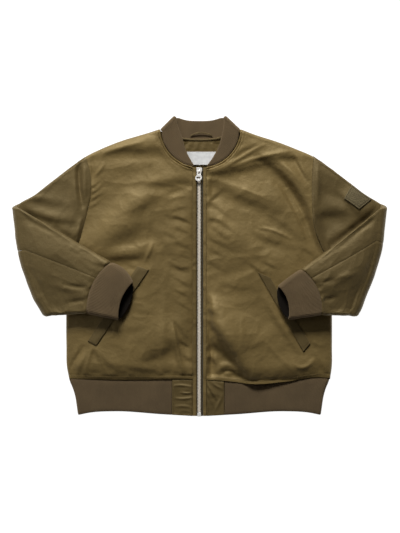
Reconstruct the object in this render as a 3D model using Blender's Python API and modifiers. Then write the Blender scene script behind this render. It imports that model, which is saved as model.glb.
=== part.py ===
"""Child's bomber jacket, zipped and lying on its back, with both sleeves folded over the front.

Lengths in the tables are millimetres. X runs to the wearer's left, Y from hem to collar and
Z up from the floor. Tables give the wearer's right and left sides separately, as distances
from the centre line. Each sheet of cloth is a surface in two parameters, and its solid is the
wall between two offsets of that surface.
"""

import math
from collections import namedtuple

import bmesh
import bpy
import numpy as np

MM = 0.001
RIGHT = -1
LEFT = 1
SIDES = ((RIGHT, "right"), (LEFT, "left"))

# ---------------------------------------------------------------- driving sizes
SEAM_GAP = 0.3
ARMHOLE_GAP = 0.9
HEM_GAP = 0.5
NECK_GAP = 1.0
SHELL = 2.2
RIB = 2.8
EDGE_RADIUS = 5.0
HEM_RADIUS = 4.7
CROWN = 8.0
CROWN_REACH = 45.0
UNDERARM = (209.0, -3.0)
HEM_SEAM_Y = -181.0
HEM_LEVEL = 9.5
NECK_LEVEL = 10.2
NECK_REACH = 38.0
NECK_CENTRE = (1.5, 221.5)
NECK_RADIUS = 64.2
NECK_POINT_ANGLE = math.radians(86)
NECK_SHARE = 0.34
BACK_NECK = (201.4, 218.0)

ZIP_X = -0.5
ZIP_LEVEL = 10.2
ZIP_TOP = 150.0
ZIP_BOTTOM = -233.5
ZIP_BOX_END = -240.0
ZIP_BOX_THICKNESS = 3.6
CHAIN_WIDTH = 5.8
CHAIN_THICKNESS = 2.6
PLACKET_INNER = 5.3
PLACKET_OUTER = 10.9
PLACKET_Y = (-239.0, 157.4)
FRONT_EDGE = 11.2

# ---------------------------------------------------------------- outlines
BodyRow = namedtuple("BodyRow", "y right left")
BODY_SIDES = (
    BodyRow(-181.0, 208.0, 208.5),
    BodyRow(-160.0, 211.9, 211.4),
    BodyRow(-130.0, 212.6, 211.6),
    BodyRow(-75.0, 212.8, 211.6),
    BodyRow(-40.0, 212.0, 211.4),
    BodyRow(-3.0, 209.0, 209.0),
    BodyRow(40.0, 191.0, 188.0),
    BodyRow(62.0, 184.8, 181.3),
    BodyRow(87.0, 178.4, 179.0),
    BodyRow(114.0, 172.8, 178.4),
    BodyRow(146.0, 173.6, 179.2),
    BodyRow(175.0, 181.0, 182.0),
)
ShoulderRow = namedtuple("ShoulderRow", "x right left")
SHOULDERS = (
    ShoulderRow(64.0, 218.0, 219.0),
    ShoulderRow(92.0, 209.6, 208.6),
    ShoulderRow(124.0, 200.0, 198.4),
    ShoulderRow(156.0, 187.4, 186.0),
    ShoulderRow(181.5, 174.9, 174.9),
    ShoulderRow(220.0, 147.2, 148.0),
    ShoulderRow(300.0, 93.0, 90.0),
)
HemSeamRow = namedtuple("HemSeamRow", "x right left")
HEM_SEAM = (
    HemSeamRow(0.0, -181.0, -181.0),
    HemSeamRow(40.0, -181.0, -183.0),
    HemSeamRow(85.0, -181.5, -188.0),
    HemSeamRow(140.0, -181.5, -184.0),
    HemSeamRow(190.0, -180.0, -177.5),
    HemSeamRow(209.0, -179.0, -178.5),
)
HemRow = namedtuple("HemRow", "share half_width")
HEM_SIDES = (
    HemRow(0.0, 208.0),
    HemRow(0.22, 202.5),
    HemRow(0.45, 198.5),
    HemRow(0.72, 196.0),
    HemRow(1.0, 193.8),
)
HemEdgeRow = namedtuple("HemEdgeRow", "x y")
HEM_EDGE = (
    HemEdgeRow(0.0, -240.0),
    HemEdgeRow(60.0, -236.5),
    HemEdgeRow(135.0, -231.8),
    HemEdgeRow(175.0, -234.0),
    HemEdgeRow(195.0, -238.0),
)
CollarRow = namedtuple("CollarRow", "y right left")
COLLAR_EDGE = (
    CollarRow(161.0, 9.0, 12.6),
    CollarRow(173.0, 16.2, 21.0),
    CollarRow(189.0, 23.2, 29.5),
    CollarRow(205.0, 27.8, 34.8),
    CollarRow(223.0, 34.0, 38.2),
    CollarRow(239.0, 39.0, 40.8),
)
ElbowRow = namedtuple("ElbowRow", "y right left")
ELBOWS = (
    ElbowRow(-84.0, 245.4, 249.0),
    ElbowRow(-70.0, 254.4, 257.6),
    ElbowRow(-51.0, 265.4, 264.8),
    ElbowRow(-22.0, 276.8, 276.8),
    ElbowRow(6.0, 285.6, 285.4),
    ElbowRow(35.0, 291.8, 292.6),
    ElbowRow(60.0, 294.8, 295.2),
    ElbowRow(95.0, 299.0, 299.6),
)

# ---------------------------------------------------------------- sleeves
ARM_WIDTH = 179.0
ARM_DIP_AT = 0.7
ARM_CROWN = 5.5
ELBOW_WIDTH = 178.0
WRIST_WIDTH = 88.0
MOUTH_WIDTH = 64.0
BEND_INNER = 2.0
BEND_SLIDE = 3.8
ELBOW_TOP_Y = 95.5
ELBOW_BOTTOM_Y = -82.0
CUFF_RADIUS = 6.6
CUFF_BASE = 22.2
CUFF_CROWN = 1.5
CUFF_RISE = 0.6
# How far a ring bows along the cuff's axis on its top and its under face.
SEAM_BOW = (-11.0, 3.0)
MOUTH_BOW = (-7.5, 7.0)

SleeveEnd = namedtuple("SleeveEnd", "x y")
SLEEVE_COLUMNS = "seam_top seam_low mouth_top mouth_low bulge dip sag elbow_seam"
SleeveSpec = namedtuple("SleeveSpec", SLEEVE_COLUMNS)
SLEEVES = {
    RIGHT: SleeveSpec(
        seam_top=SleeveEnd(140.6, 6.1),
        seam_low=SleeveEnd(178.6, -75.6),
        mouth_top=SleeveEnd(104.6, -26.0),
        mouth_low=SleeveEnd(128.0, -86.4),
        bulge=6.0,
        dip=3.4,
        sag=0.0,
        elbow_seam=(0.45, 0.40, 0.34),
    ),
    LEFT: SleeveSpec(
        seam_top=SleeveEnd(160.6, -4.6),
        seam_low=SleeveEnd(193.0, -78.0),
        mouth_top=SleeveEnd(123.6, -31.4),
        mouth_low=SleeveEnd(140.4, -85.0),
        bulge=1.0,
        dip=2.2,
        sag=4.5,
        elbow_seam=(0.42, 0.33, 0.20),
    ),
}
# Forearm sections from the elbow (0) to the cuff seam (1): underside height, roll radius, crown.
ForearmRow = namedtuple("ForearmRow", "along base radius crown")
FOREARM = (
    ForearmRow(0.0, 14.0, 5.0, 0.0),
    ForearmRow(0.12, 16.2, 5.2, 1.4),
    ForearmRow(0.3, 17.4, 5.6, 2.6),
    ForearmRow(0.6, 18.2, 6.0, 2.6),
    ForearmRow(0.85, 20.4, 6.3, 2.0),
    ForearmRow(1.0, 22.2, 6.6, 1.0),
)

# ---------------------------------------------------------------- folds
# A fold runs from (x0, y0) to (x2, y2) by way of (x1, y1). A negative height is a trough.
FoldRow = namedtuple("FoldRow", "x0 y0 x1 y1 x2 y2 height width")
FRONT_FOLDS = {
    RIGHT: (
        FoldRow(-47, -80, -42, -120, -26, -166, 1.8, 5),
        FoldRow(-194, -166, -188, -150, -178, -136, 2.2, 5),
        FoldRow(-60, -172, -56, -90, -54, -10, 1.2, 6),
    ),
    LEFT: (
        FoldRow(14, -56, 17, -110, 20, -164, -3.4, 4.5),
        FoldRow(30, -168, 45, -146, 60, -172, 2.6, 5),
        FoldRow(124, 168, 146, 156, 168, 124, 2.2, 4.5),
    ),
}
# A fall runs the same way: the cloth on its right-hand side lies lower by its drop.
# lift is the share of the drop by which the left-hand side stands up.
FallRow = namedtuple("FallRow", "x0 y0 x1 y1 x2 y2 drop width lift", defaults=(0.5,))
FALL_REACH = 3.2
FRONT_FALLS = {
    RIGHT: (
        FallRow(-156, 177, -112, 189, -60, 182, 8.0, 8),
        FallRow(-140, 150, -80, 156, -16, 150, 3.4, 12),
        FallRow(-66, 186, -54, 172, -42, 160, 3.0, 4),
        FallRow(-192, 30, -152, 74, -94, 124, -12.0, 16),
        FallRow(-90, 130, -50, 129, -14, 138, 6.6, 7),
        FallRow(-118, 83, -92, 90, -56, 115, 7.0, 11),
        FallRow(-152, 35, -112, 52, -72, 72, 6.5, 12),
        FallRow(-140, 28, -108, 29, -76, 40, -1.8, 5),
        FallRow(-150, 13, -116, 10, -86, 16, 7.0, 6),
        FallRow(-76, -122, -82, -60, -92, -10, 5.0, 14),
        FallRow(-92, -148, -62, -142, -26, -112, 12.0, 15),
        FallRow(-62, 26, -58, 8, -50, -12, -2.4, 5),
        FallRow(-164, -140, -148, -156, -126, -168, 3.6, 5),
        FallRow(-56, 36, -44, 14, -26, 0, 1.6, 6),
    ),
    LEFT: (
        FallRow(14, 148, 62, 149, 116, 167, 8.0, 6.5, 0.4),
        FallRow(36, 138, 76, 140, 112, 148, 5.0, 11),
        FallRow(46, 170, 84, 184, 132, 190, 4.4, 9),
        FallRow(108, 169, 134, 173, 164, 172, 5.5, 5),
        FallRow(150, 178, 160, 160, 172, 138, 5.0, 3.5),
        FallRow(110, 164, 152, 134, 172, 80, 18.0, 6.5, 0.35),
        FallRow(20, 146, 52, 156, 68, 190, 5.0, 11),
        FallRow(172, 90, 178, 56, 194, 22, 12.0, 5),
        FallRow(16, 136, 56, 109, 118, 88, 8.0, 8, 0.3),
        FallRow(34, 84, 66, 52, 104, 30, -9.0, 13),
        FallRow(168, 40, 156, 78, 126, 122, 3.0, 5),
        FallRow(96, 46, 112, 39, 130, 34, 3.8, 5),
        FallRow(18, -44, 58, -78, 108, -116, -7.0, 17),
        FallRow(80, -186, 46, -138, 16, -78, -20.0, 8),
        FallRow(-6, -120, 26, -126, 64, -152, 15.0, 20),
        FallRow(24, -172, 17, -130, 12, -64, -7.0, 5),
        FallRow(14, -30, 56, -18, 98, -4, -1.6, 6),
    ),
}
SLEEVE_FOLDS = {
    RIGHT: (
        FoldRow(-193, 170, -195, 132, -186, 96, -6.5, 4.5),
        FoldRow(-199, 46, -192, 60, -187, 74, 2.4, 5),
        FoldRow(-212, -30, -194, -35, -176, -33, -1.8, 4),
        FoldRow(-208, -58, -192, -56, -178, -54, -1.8, 4),
    ),
    LEFT: (
        FoldRow(187, 154, 188, 130, 188, 104, 1.6, 5),
        FoldRow(214, -20, 204, -26, 194, -26, -1.6, 4),
        FoldRow(216, -50, 206, -52, 196, -54, -1.6, 4),
    ),
}
SLEEVE_FALLS = {
    RIGHT: (
        FallRow(-284, 112, -246, 98, -212, 96, 4.0, 6, 0.3),
        FallRow(-292, 97, -258, 73, -206, 69, 8.0, 5, 0.3),
        FallRow(-238, 68, -216, 56, -194, 42, 4.0, 4),
        FallRow(-276, 2, -232, -24, -182, -56, 7.0, 20),
        FallRow(-250, 150, -226, 128, -196, 120, 3.0, 12),
        FallRow(-210, 86, -202, 110, -196, 150, -2.4, 8),
        FallRow(-262, 22, -226, 12, -186, -8, 3.0, 8),
        FallRow(-190, 40, -200, 50, -206, 66, -3.0, 7),
    ),
    LEFT: (
        FallRow(184, 82, 206, 83, 238, 84, 9.0, 8, 0.35),
        FallRow(222, 114, 234, 104, 250, 86, 4.0, 4),
        FallRow(188, 60, 214, 64, 246, 78, 4.0, 11),
        FallRow(204, 34, 238, 56, 286, 96, 7.5, 4.5, 0.1),
        FallRow(190, -52, 236, -32, 282, 8, 8.0, 20),
        FallRow(182, 130, 212, 126, 244, 122, 6.0, 20),
        FallRow(252, 150, 238, 130, 226, 100, 3.0, 12),
        FallRow(194, 4, 230, 22, 268, 44, 3.0, 9),
    ),
}

# ---------------------------------------------------------------- what lies on the panels
WELT_THICKNESS = 1.7
WELT_GAP = 0.5
Corner = namedtuple("Corner", "x y")
WELTS = {
    RIGHT: (Corner(-177.4, -118.9), Corner(-164.0, -126.4), Corner(-98.4, 0.0), Corner(-80.8, -6.4)),
    LEFT: (Corner(176.0, -123.2), Corner(165.0, -136.2), Corner(112.2, -18.6), Corner(93.0, -9.9)),
}
PATCH_ARM = ((0.57, 0.87), (0.483, 0.708))
PATCH_REACH = (2.6, 31.0)
PATCH_THICKNESS = 1.4
PATCH_GAP = 0.6
FACING_Y = (160.4, 199.0)
FACING_HALF_WIDTHS = (40.0, 56.0)
FACING_THICKNESS = 1.2
LABEL_X = (-27.0, 31.0)
LABEL_Y = (161.6, 182.4)
LABEL_THICKNESS = 0.8
TAPE_THICKNESS = 0.8
NECK_TAPE_X = (-52.0, 54.0)
NECK_TAPE_OFFSETS = (-1.6, 2.1)
NECK_TAPE_THICKNESS = 1.4
HANGER_X = (-15.0, 21.0)
HANGER_Y = (205.0, 211.6)
HANGER_Z = (3.7, 5.9)
HANGER_WIDTH = 2.6
HANGER_THICKNESS = 1.0
HEM_TAB_X = {RIGHT: 44.0, LEFT: 40.0}

# ---------------------------------------------------------------- slider and pull
SLIDER_WIDTH = 9.6
SLIDER_Y = (147.6, 157.2)
PLATE = 1.1
POST_WIDTH = 2.8
BRIDGE_WIDTH = 2.2
BRIDGE_RISE = 3.4
BRIDGE_BAR = 1.0
BRIDGE_HALF_SPAN = 2.0
HINGE_Y = 151.0
PULL_THICKNESS = 1.4
PULL_LENGTH = 16.2
PULL_WAIST = 3.5
PULL_END_RADIUS = 5.4
PULL_BAR = 0.6
PULL_EYE = (3.2, 4.3)
PULL_SLOT = (6.0, 2.6)
PULL_LEAN = math.radians(5)
PULL_REST_TILT = math.radians(6)


# ---------------------------------------------------------------- small mathematics
def read(rows, place, column):
    """Smooth value of a table's column at a place along its first column."""
    table = sorted(rows, key=lambda row: row[0])
    xs = np.array([row[0] for row in table])
    ys = np.array([getattr(row, column) for row in table])
    slopes = np.gradient(ys, xs)
    at = np.clip(place, xs[0], xs[-1])
    i = np.clip(np.searchsorted(xs, at, side="right") - 1, 0, len(xs) - 2)
    span = xs[i + 1] - xs[i]
    t = (at - xs[i]) / span
    start = (1 + 2 * t) * (1 - t) ** 2 * ys[i] + t * (1 - t) ** 2 * span * slopes[i]
    end = t * t * (3 - 2 * t) * ys[i + 1] - t * t * (1 - t) * span * slopes[i + 1]
    return start + end


def mix(a, b, t):
    return a + (b - a) * t


def ease(t):
    t = np.clip(t, 0.0, 1.0)
    return t * t * (3 - 2 * t)


def side_name(side):
    return "right" if side == RIGHT else "left"


def curve_place(row, x, y):
    """Distance from a row's curve, share of the way along it and distance to its right."""
    shares = np.linspace(0, 1, 9)
    px = (1 - shares) ** 2 * row.x0 + 2 * shares * (1 - shares) * row.x1 + shares**2 * row.x2
    py = (1 - shares) ** 2 * row.y0 + 2 * shares * (1 - shares) * row.y1 + shares**2 * row.y2
    nearest = np.full_like(x, 1e9, dtype=float)
    along = np.zeros_like(nearest)
    right = np.zeros_like(nearest)
    for k in range(len(shares) - 1):
        dx, dy = px[k + 1] - px[k], py[k + 1] - py[k]
        t = np.clip(((x - px[k]) * dx + (y - py[k]) * dy) / (dx * dx + dy * dy), 0, 1)
        gap = np.hypot(x - px[k] - t * dx, y - py[k] - t * dy)
        off = ((x - px[k]) * dy - (y - py[k]) * dx) / math.hypot(dx, dy)
        closer = gap < nearest
        nearest = np.where(closer, gap, nearest)
        right = np.where(closer, off, right)
        along = np.where(closer, (k + t) / (len(shares) - 1), along)
    return nearest, along, right


def end_fade(along):
    return np.sin(np.pi * np.clip(0.12 + 0.76 * along, 0, 1))


def fold_height(rows, x, y):
    """Sum of soft ridges and troughs, each fading out towards its ends."""
    total = np.zeros_like(x, dtype=float)
    for row in rows:
        nearest, along, _ = curve_place(row, x, y)
        total = total + row.height * end_fade(along) * np.exp(-((nearest / row.width) ** 2))
    return total


def fall_height(rows, x, y):
    """Sum of falls, each a slope across its line that levels out on both sides."""
    total = np.zeros_like(x, dtype=float)
    for row in rows:
        nearest, along, right = curve_place(row, x, y)
        level_out = np.exp(-((nearest / (FALL_REACH * row.width)) ** 2))
        lower = 0.5 + 0.5 * np.tanh(right / row.width)
        total = total + row.drop * (row.lift - lower) * end_fade(along) * level_out
    return total


# ---------------------------------------------------------------- the body's form
def outline_distance(side, x, y):
    """Distance inwards from the folded edges: the side seam, the shoulder and the arm's top."""
    name = side_name(side)
    reach = np.abs(x)
    below = read(BODY_SIDES, y, name) - reach
    above = np.hypot(UNDERARM[0] - reach, y - UNDERARM[1])
    at_side = np.where(y < UNDERARM[1], below, above)
    inside_neck = np.maximum(SHOULDERS[0].x - reach, 0)
    at_shoulder = (read(SHOULDERS, reach, name) + 0.4 * inside_neck - y) * 0.93
    return np.maximum(np.minimum(at_side, at_shoulder), 0)


def rolled(distance, radius):
    """Height gained over a rolled edge of the given radius."""
    return radius * np.sqrt(1 - (1 - np.clip(distance / radius, 0, 1)) ** 2)


def front_height(side, x, y):
    """Height of the front's outer face."""
    y = np.maximum(y, HEM_SEAM_Y)
    reach = np.abs(x)
    edge = outline_distance(side, x, y)
    height = EDGE_RADIUS + SEAM_GAP / 2 + rolled(edge, EDGE_RADIUS)
    height = height + CROWN * (1 - np.exp(-edge / CROWN_REACH))
    neck = np.maximum(np.hypot(x - NECK_CENTRE[0], y - NECK_CENTRE[1]) - NECK_RADIUS, 0)
    height = height - np.maximum(height - NECK_LEVEL, 0) * np.exp(-neck / NECK_REACH)
    hem = np.maximum(y - read(HEM_SEAM, reach, side_name(side)), 0)
    height = height - np.maximum(height - HEM_LEVEL, 0) * np.exp(-hem / 9)
    height = height + 2.0 * np.exp(-(((hem - 22) / 14) ** 2)) * ease(edge / 30)
    centre = 1 - np.exp(-np.maximum(reach - PLACKET_INNER, 0) / 18)
    height = ZIP_LEVEL + (height - ZIP_LEVEL) * centre
    calm = ease(edge / 14) * ease(hem / 10) * ease(neck / 10) * ease((reach - 9) / 12)
    folds = fold_height(FRONT_FOLDS[side], x, y) + fall_height(FRONT_FALLS[side], x, y)
    return height + calm * folds


def neck_corner(side, angle):
    x = NECK_CENTRE[0] + side * NECK_RADIUS * np.sin(angle)
    return x, NECK_CENTRE[1] - NECK_RADIUS * np.cos(angle)


def front_surface(side):
    """Surface of a front: u from the zip (0) to the side (1), v from the hem (0) up to 1."""
    name = side_name(side)
    tip_x = float(read(BODY_SIDES, BODY_SIDES[-1].y, name))
    hem_x = float(read(BODY_SIDES, BODY_SIDES[0].y, name))
    zip_angle = math.asin((FRONT_EDGE - side * NECK_CENTRE[0]) / NECK_RADIUS)

    def surface(u, v):
        angle = mix(zip_angle, NECK_POINT_ANGLE, np.clip(u / NECK_SHARE, 0, 1))
        neck_x, neck_y = neck_corner(side, angle)
        out = np.clip((u - NECK_SHARE) / (1 - NECK_SHARE), 0, 1)
        last_x = abs(neck_corner(side, NECK_POINT_ANGLE)[0])
        shoulder_x = mix(last_x, tip_x, out)
        shoulder_y = read(SHOULDERS, shoulder_x, name)
        on_neck = u < NECK_SHARE
        top_x = np.where(on_neck, np.abs(neck_x), shoulder_x)
        top_y = np.where(on_neck, neck_y, shoulder_y)
        low_x = mix(FRONT_EDGE, hem_x, u)
        low_y = read(HEM_SEAM, low_x, name)
        y = mix(low_y + SEAM_GAP / 2, top_y, v)
        edge_x = read(BODY_SIDES, y, name)
        drawn = (top_x - FRONT_EDGE) / (tip_x - FRONT_EDGE)
        share = mix(u, drawn, np.clip(v, 0, 1) ** 4)
        x = side * mix(FRONT_EDGE, edge_x, share)
        return np.stack([x, y, front_height(side, x, y)], axis=-1)

    return surface


def plan_surface(height, corners):
    """Surface over the four plan corners (near-low, far-low, near-high, far-high)."""
    a, b, c, d = corners

    def surface(u, v):
        x = mix(mix(a[0], b[0], u), mix(c[0], d[0], u), v)
        y = mix(mix(a[1], b[1], u), mix(c[1], d[1], u), v)
        return np.stack([x, y, height(x, y)], axis=-1)

    return surface


def back_surface(u, v):
    """Outer face of the back: u from the right side (-1) to the left (1), v from hem to neck."""
    left = u > 0
    reach = np.abs(u)
    tip = np.where(left, BODY_SIDES[-1].left, BODY_SIDES[-1].right)
    out = np.clip((reach - NECK_SHARE) / (1 - NECK_SHARE), 0, 1)
    on_neck = reach < NECK_SHARE
    top_x = np.where(on_neck, SHOULDERS[0].x * reach / NECK_SHARE, mix(SHOULDERS[0].x, tip, out))
    shoulder = np.where(left, read(SHOULDERS, top_x, "left"), read(SHOULDERS, top_x, "right"))
    top_y = np.where(on_neck, back_neck_y(top_x) - NECK_GAP, shoulder)
    y = mix(HEM_SEAM_Y + SEAM_GAP / 2, top_y, v)
    edge_x = np.where(left, read(BODY_SIDES, y, "left"), read(BODY_SIDES, y, "right"))
    share = mix(reach, top_x / tip, np.clip(v, 0, 1) ** 4)
    x = np.sign(u) * edge_x * share
    edge = np.where(left, outline_distance(LEFT, x, y), outline_distance(RIGHT, x, y))
    radius = EDGE_RADIUS - SEAM_GAP / 2
    return np.stack([x, y, radius - rolled(edge, radius)], axis=-1)


def back_neck_y(x):
    """Back neckline, lowest at the centre."""
    return mix(*BACK_NECK, np.abs(x / SHOULDERS[0].x) ** 2.5)


# ---------------------------------------------------------------- rib bands
def hem_surface(p, u):
    """Hem rib: p from the back's centre (0) to the front's tab (3 or -3), u from seam to edge."""
    left = p > 0
    m = np.abs(p)
    half = read(HEM_SIDES, u, "half_width")
    flat = half - HEM_RADIUS
    turn = np.clip(m - 1, 0, 1) * np.pi
    tab = np.where(left, HEM_TAB_X[LEFT], HEM_TAB_X[RIGHT]) + SEAM_GAP
    x = np.where(m < 1, flat * m, flat + HEM_RADIUS * np.sin(turn))
    x = np.where(m > 2, mix(flat, tab, m - 2), x)
    z = HEM_RADIUS * (1 - np.cos(turn))
    seam = np.where(left, read(HEM_SEAM, x, "left"), read(HEM_SEAM, x, "right"))
    top = mix(HEM_SEAM_Y, seam, ease(2 * m - 3)) - HEM_GAP
    y = mix(top, read(HEM_EDGE, x, "y"), u)
    return np.stack([np.sign(p) * x, y, z], axis=-1)


COLLAR_RADIUS = NECK_LEVEL / 2
COLLAR_PEAK_X = (41.6, 40.4)
COLLAR_PEAK_Y = 240.4
COLLAR_BACK = (232.0, 239.4)


def collar_surface(p, u):
    """Collar: p from the back's centre (0) round to the zip (3 or -3), u from seam to free edge."""
    left = p > 0
    sign = np.where(left, 1.0, -1.0)
    m = np.abs(p)
    point = np.stack(neck_corner(1, NECK_POINT_ANGLE))
    fold_seam_x = np.where(left, point[0] + 0.3, point[0] - 2.4)
    fold_seam_y = BACK_NECK[1]
    fold_edge_x = np.where(left, *COLLAR_PEAK_X)
    fold_edge_y = COLLAR_PEAK_Y
    fold_x = mix(fold_seam_x, fold_edge_x, u)
    fold_y = mix(fold_seam_y, fold_edge_y, u)
    run = np.hypot(fold_edge_x - fold_seam_x, fold_edge_y - fold_seam_y)
    out_x = (fold_edge_y - fold_seam_y) / run
    out_y = (fold_seam_x - fold_edge_x) / run
    turn = np.clip(m - 1, 0, 1) * np.pi
    reach = COLLAR_RADIUS * (np.sin(turn) - 1)
    x = fold_x + out_x * reach
    y = fold_y + out_y * reach
    inner_x = fold_x - out_x * COLLAR_RADIUS
    inner_y = fold_y - out_y * COLLAR_RADIUS
    back_x = inner_x * m
    back_seam = back_neck_y(np.minimum(back_x, SHOULDERS[0].x)) + SEAM_GAP / 2
    back_edge = mix(*COLLAR_BACK, (back_x / 39.0) ** 3)
    settle = np.clip(m, 0, 1) ** 6
    back_y = mix(mix(back_seam, back_edge, u), inner_y, settle)
    angle = mix(NECK_POINT_ANGLE, math.radians(10), np.clip(m - 2, 0, 1))
    seam_x = sign * NECK_CENTRE[0] + (NECK_RADIUS - NECK_GAP) * np.sin(angle)
    seam_y = NECK_CENTRE[1] - (NECK_RADIUS - NECK_GAP) * np.cos(angle)
    edge_y = mix(COLLAR_EDGE[-1].y, COLLAR_EDGE[0].y, np.clip(m - 2, 0, 1))
    edge_x = np.where(left, read(COLLAR_EDGE, edge_y, "left"), read(COLLAR_EDGE, edge_y, "right"))
    leave = ease((m - 2) * 4)
    front_x = mix(inner_x, mix(seam_x, edge_x, u), leave)
    front_y = mix(inner_y, mix(seam_y, edge_y, u), leave)
    x = np.where(m < 1, back_x, np.where(m > 2, front_x, x))
    y = np.where(m < 1, back_y, np.where(m > 2, front_y, y))
    z = COLLAR_RADIUS * (1 - np.cos(turn))
    return np.stack([sign * x, y, z], axis=-1)


# ---------------------------------------------------------------- sleeves
def ring_offset(a, width, radius):
    """Distance across a flattened tube and height off its middle, for a ring position a.

    a is 0 on the upper edge and 3 (or -3) on the lower edge. From 1 to 2 it crosses the face
    that turns to the front, and from -1 to -2 the face that turns to the back.
    """
    m = np.abs(a)
    near = m * np.pi / 2
    far = (3 - m) * np.pi / 2
    across = np.where(m < 1, radius * (1 - np.cos(near)), radius + (m - 1) * (width - 2 * radius))
    across = np.where(m > 2, width - radius * (1 - np.cos(far)), across)
    height = np.where(m < 1, radius * np.sin(near), radius)
    height = np.where(m > 2, radius * np.sin(far), height)
    return across, np.sign(a) * height


def crown_share(across, width):
    edge = np.minimum(across, width - across)
    return 1 - np.exp(-np.maximum(edge, 0) / CROWN_REACH)


def elbow_line(side, share):
    """Bend axis in plan and the outward direction there, for a share down the elbow."""
    name = side_name(side)
    y = mix(ELBOW_TOP_Y, ELBOW_BOTTOM_Y, share)
    x = read(ELBOWS, y, name)
    slope = (read(ELBOWS, y + 2, name) - read(ELBOWS, y - 2, name)) / 4
    length = np.hypot(1, slope)
    out_x, out_y = 1 / length, -slope / length
    reach = 2 * EDGE_RADIUS + BEND_INNER
    return x - out_x * reach, y - out_y * reach, out_x, out_y


def seam_line(side, share):
    spec = SLEEVES[side]
    x = mix(spec.seam_top.x, spec.seam_low.x, share)
    y = mix(spec.seam_top.y, spec.seam_low.y, share)
    return x, y


def mouth_line(side, share):
    spec = SLEEVES[side]
    x = mix(spec.mouth_top.x, spec.mouth_low.x, share)
    y = mix(spec.mouth_top.y, spec.mouth_low.y, share)
    return x, y


def cuff_axis(side):
    seam = seam_line(side, 0.5)
    mouth = mouth_line(side, 0.5)
    length = math.hypot(mouth[0] - seam[0], mouth[1] - seam[1])
    return (mouth[0] - seam[0]) / length, (mouth[1] - seam[1]) / length


def bowed(share, level, upper, lower):
    """Shift along the cuff's axis that bows a ring: upper on its top face, lower beneath."""
    bow = np.where(level > 0, upper, lower) * np.abs(level)
    return 4 * share * (1 - share) * bow


def sleeve_surface(side):
    """Sleeve: w from the armhole (0) over the bend (1 to 2) to the cuff seam (3), a round it."""
    name = side_name(side)
    axis_x, axis_y = cuff_axis(side)
    middle = BEND_INNER + EDGE_RADIUS

    def surface(w, a):
        v = np.clip(w - 2, 0, None)
        on_arm = w < 1
        on_forearm = w > 2
        radius = np.where(on_forearm, read(FOREARM, v, "radius"), EDGE_RADIUS)
        width = np.where(on_forearm, mix(ELBOW_WIDTH, WRIST_WIDTH, v), ARM_WIDTH)
        across, lift = ring_offset(a, width, radius)
        share = across / width
        level = lift / radius

        arm_y = mix(BODY_SIDES[-1].y, UNDERARM[1] + ARMHOLE_GAP, share)
        arm_x = read(BODY_SIDES, arm_y, name) + ARMHOLE_GAP
        bend_x, bend_y, out_x, out_y = elbow_line(side, share)
        slide = BEND_SLIDE * (2 * np.clip(w - 1, 0, 1) - 1)
        bend_x = bend_x + out_y * slide
        bend_y = bend_y - out_x * slide
        end_x, end_y = seam_line(side, share)
        shift = bowed(share, -level, *SEAM_BOW)
        end_x = end_x + axis_x * (shift - SEAM_GAP)
        end_y = end_y + axis_y * (shift - SEAM_GAP)

        arm = np.clip(w, None, 1)
        fore = np.clip(v, 0, None)
        sag = SLEEVES[side].sag * 4 * fore * (1 - fore) * (1 - share)
        x = np.where(on_arm, mix(arm_x, bend_x, arm), mix(bend_x, end_x, fore) - 0.5 * sag)
        dip_along = (arm / ARM_DIP_AT) ** 2 * ease((1 - arm) / (1 - ARM_DIP_AT))
        dip = SLEEVES[side].dip * dip_along * (1 - share) ** 3
        y = np.where(on_arm, mix(arm_y, bend_y, arm) - dip, mix(bend_y, end_y, fore) - sag)

        crown = crown_share(across, width)
        arm_crown = np.where(a > 0, ARM_CROWN * ease((1 - arm) * 2.5) * crown, 0)
        fore_crown = np.where(a < 0, read(FOREARM, fore, "crown") * crown, 0)
        wrinkle = ease(np.minimum(across, width - across) / 14)
        plan_x, plan_y = side * x, y
        placed = fold_height(SLEEVE_FOLDS[side], plan_x, plan_y)
        placed = placed + fall_height(SLEEVE_FALLS[side], plan_x, plan_y)
        folds = wrinkle * placed
        arm_folds = np.where(a > 0, folds * ease(w * 12) * ease((1 - w) * 8), 0)
        fore_folds = np.where(a < 0, folds * ease(fore * 8) * ease((1 - fore) * 12), 0)

        body = front_height(side, plan_x, plan_y)
        own = EDGE_RADIUS + lift + arm_crown
        joined = np.where(a > 0, mix(body, own, ease(w / 0.35)), own)
        arm_z = np.maximum(joined + arm_folds, 0)
        turn = np.clip(w - 1, 0, 1) * np.pi - np.pi / 2
        radial = middle - lift
        bend_axis_z = 2 * EDGE_RADIUS + BEND_INNER
        bend_z = bend_axis_z + radial * np.sin(turn)
        fore_z = read(FOREARM, fore, "base") + radius - lift + fore_crown + fore_folds
        z = np.where(on_arm, arm_z, np.where(on_forearm, fore_z, bend_z))
        bulge = np.where(on_arm | on_forearm, 0, radial * np.cos(turn))
        return np.stack([side * (x + out_x * bulge), y + out_y * bulge, z], axis=-1)

    return surface


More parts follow.
